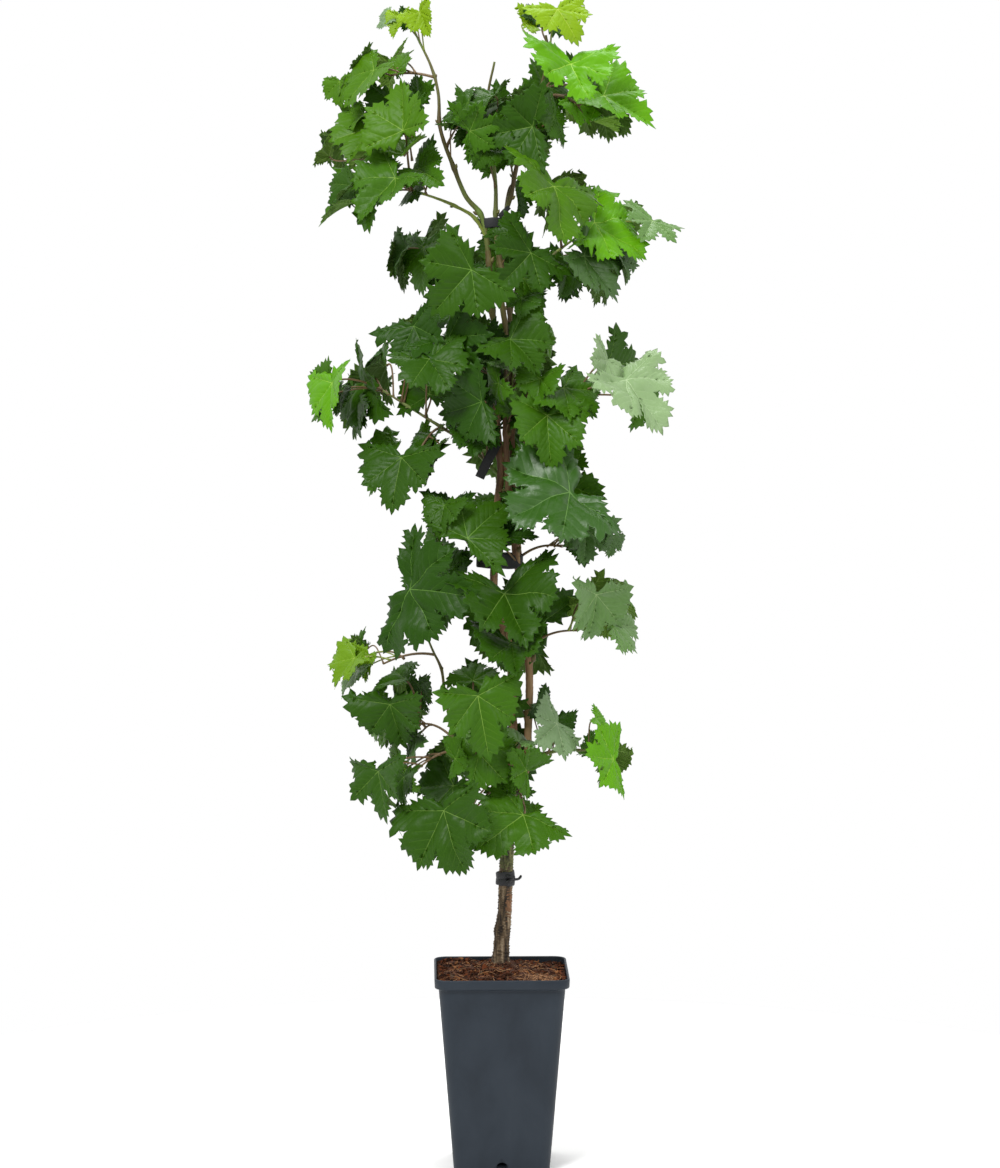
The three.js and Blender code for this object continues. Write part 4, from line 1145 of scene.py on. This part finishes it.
chips = Heap()
chip_mats = [
    material("bark_chip_" + name, colour, 0.90, 0.08, 500, 0.9, 0.0006, 7, (1, 1, 0.5), specular=0.08)
    for name, colour in (("dark", (38, 22, 15)), ("brown", (68, 39, 24)), ("red", (94, 50, 28)), ("tan", (126, 84, 52)), ("grey", (82, 66, 52)))
]
chip_slots = [chips.slot(m) for m in chip_mats]
base_dirs = []
for a in np.linspace(0, 2 * math.pi, 7, endpoint=False):
    base_dirs.append([math.cos(a), math.sin(a), 0])
base_dirs = np.array(base_dirs)
for c in range(3600):
    x, y = squircle(np.array(rng.uniform(-1, 1)), np.array(rng.uniform(-1, 1)), inner - 1.5, 11)
    x, y = float(x), float(y)
    if x * x + (y - 10) ** 2 < 11.5**2:
        continue
    size = rng.lognormal(0.62, 0.42)
    size = min(size, 6.0)
    ratio = rng.uniform(0.35, 0.9)
    flat = rng.uniform(0.18, 0.5)
    ring = base_dirs * rng.uniform(0.7, 1.25, (7, 1))
    up = np.column_stack([ring[:, 0] * size, ring[:, 1] * size * ratio, rng.uniform(0.1, 0.5, 7) * size * flat])
    dn = np.column_stack([ring[:, 0] * size * 0.85, ring[:, 1] * size * ratio * 0.85, -rng.uniform(0.1, 0.6, 7) * size * flat])
    v = np.vstack([up, dn, [[0, 0, size * flat * 0.7]], [[0, 0, -size * flat * 0.6]]])
    yaw, pitch, bank = rng.uniform(0, 6.3), rng.normal(0, 0.42), rng.normal(0, 0.42)
    cy_, sy_ = math.cos(yaw), math.sin(yaw)
    cp, sp = math.cos(pitch), math.sin(pitch)
    cb, sb = math.cos(bank), math.sin(bank)
    rot = np.array([[cy_, -sy_, 0], [sy_, cy_, 0], [0, 0, 1]]) @ np.array([[cp, 0, sp], [0, 1, 0], [-sp, 0, cp]]) @ np.array([[1, 0, 0], [0, cb, -sb], [0, sb, cb]])
    v = v @ rot.T
    edge_room = inner + 2.2
    v[:, 0] = np.clip(v[:, 0] + x, -edge_room, edge_room)
    v[:, 1] = np.clip(v[:, 1] + y, -edge_room, edge_room)
    v[:, 2] += float(soil_height(np.array(x), np.array(y))) + rng.uniform(-0.2, 1.0)
    v[:, 2] = np.minimum(v[:, 2], 229.0 if x * x + (y - 10) ** 2 < 900 else (221.5 if abs(x) < 50 and abs(y) < 50 else 219.4))
    k = np.arange(7)
    k2 = (k + 1) % 7
    tris = np.vstack([
        np.stack([np.full(7, 14), k, k2], 1), np.stack([np.full(7, 15), k2 + 7, k + 7], 1),
        np.stack([k, k + 7, k2 + 7], 1), np.stack([k, k2 + 7, k2], 1),
    ])
    chips.add(v * MM, tris, (), chip_slots[int(rng.choice(5, p=[0.26, 0.32, 0.24, 0.12, 0.06]))], 0, True)
ob = chips.make("bark_chips")
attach(ob, "root")

fibres = Heap()
straw = material("straw_fibre", (152, 110, 72), 0.8, 0.1, 500, 0.4, 0.0003, 5)
rootlet = material("root_fibre", (78, 45, 27), 0.8, 0.1, 500, 0.4, 0.0003, 5)
for c in range(760):
    x, y = rng.uniform(-62, 62), rng.uniform(-62, 62)
    if c % 3 == 0:
        x, y = rng.normal(38, 14), rng.normal(-46, 12)
    elif c % 8 == 1:
        x, y = rng.normal(0, 17), rng.normal(2, 15)
    length = rng.uniform(6, 22)
    a = rng.uniform(0, math.pi)
    t = np.linspace(-0.5, 0.5, 7)
    bend = rng.normal(0, 2.2)
    fx = x + np.cos(a) * t * length + np.sin(a) * bend * (1 - 4 * t * t)
    fy = y + np.sin(a) * t * length - np.cos(a) * bend * (1 - 4 * t * t)
    if (np.abs(fx) > 66).any() or (np.abs(fy) > 66).any():
        continue
    fz = soil_height(fx, fy) + 0.9 + rng.uniform(0, 0.8) + rng.normal(0, 0.25, 7)
    v, caps, quads = tube(np.column_stack([fx, fy, fz]) * MM, np.array([0.5, 0.9, 1, 1, 1, 0.9, 0.4]) * rng.uniform(0.0002, 0.00042), 5)
    mat = straw if rng.random() < (0.55 if c % 3 == 0 else 0.22) else rootlet
    fibres.add(v, caps, quads, fibres.slot(mat), fibres.slot(mat))
ob = fibres.make("mix_fibres")
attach(ob, "root")

# ---------------------------------------------------------------- stage and light

floor_mat = material("stage_floor", (250, 250, 249), 0.85, 0.03, 8, 0.05, 0.0004, 2, specular=0.1)
n = 96
a = np.linspace(0, 2 * math.pi, n, endpoint=False)
radii = [0.3, 0.6, 0.95]
verts = [[0, 0, 0]]
for r in radii:
    verts += [[r * math.cos(t), r * math.sin(t), 0] for t in a]
k = np.arange(n)
k2 = (k + 1) % n
tris = np.stack([np.zeros(n, int), k + 1, k2 + 1], 1)
quads = np.vstack([np.stack([k + 1 + i * n, k + 1 + (i + 1) * n, k2 + 1 + (i + 1) * n, k2 + 1 + i * n], 1) for i in range(2)])
verts = np.array(verts, float)
verts[:, 2] = -0.0004
floor = piece("stage_floor", verts, [tris, quads], [floor_mat])
floor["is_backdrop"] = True

world = bpy.data.worlds.new("studio")
world.use_nodes = True
wt = world.node_tree
wt.nodes["Background"].inputs[0].default_value = (1, 1, 1, 1)
bearing = wt.nodes.new("ShaderNodeTexCoord")
split = wt.nodes.new("ShaderNodeSeparateXYZ")
fade = wt.nodes.new("ShaderNodeMapRange")
fade.interpolation_type = "SMOOTHSTEP"
fade.inputs["From Min"].default_value = -0.55
fade.inputs["From Max"].default_value = 0.45
fade.inputs["To Min"].default_value = 0.58
fade.inputs["To Max"].default_value = 1.0
wt.links.new(bearing.outputs["Generated"], split.inputs[0])
wt.links.new(split.outputs["Y"], fade.inputs["Value"])
wt.links.new(fade.outputs[0], wt.nodes["Background"].inputs[1])
bpy.context.scene.world = world
bpy.context.scene.view_settings.view_transform = "Standard"
bpy.context.scene.view_settings.look = "None"


def soft_light(name, place, aim, size, watts):
    data = bpy.data.lights.new(name, "AREA")
    data.shape = "DISK"
    data.size = size
    data.energy = watts
    ob = bpy.data.objects.new(name, data)
    ob.location = place
    ob.rotation_euler = (Vector(aim) - Vector(place)).to_track_quat("-Z", "Y").to_euler()
    bpy.context.scene.collection.objects.link(ob)


soft_light("key", (-1.3, -2.4, 3.1), (0, 0, 0.7), 1.2, 106)
soft_light("fill", (2.4, -1.8, 1.8), (0, 0, 0.7), 1.8, 26)
soft_light("over", (0.2, 0.9, 3.2), (0, 0, 0.8), 1.4, 34)

low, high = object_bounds()
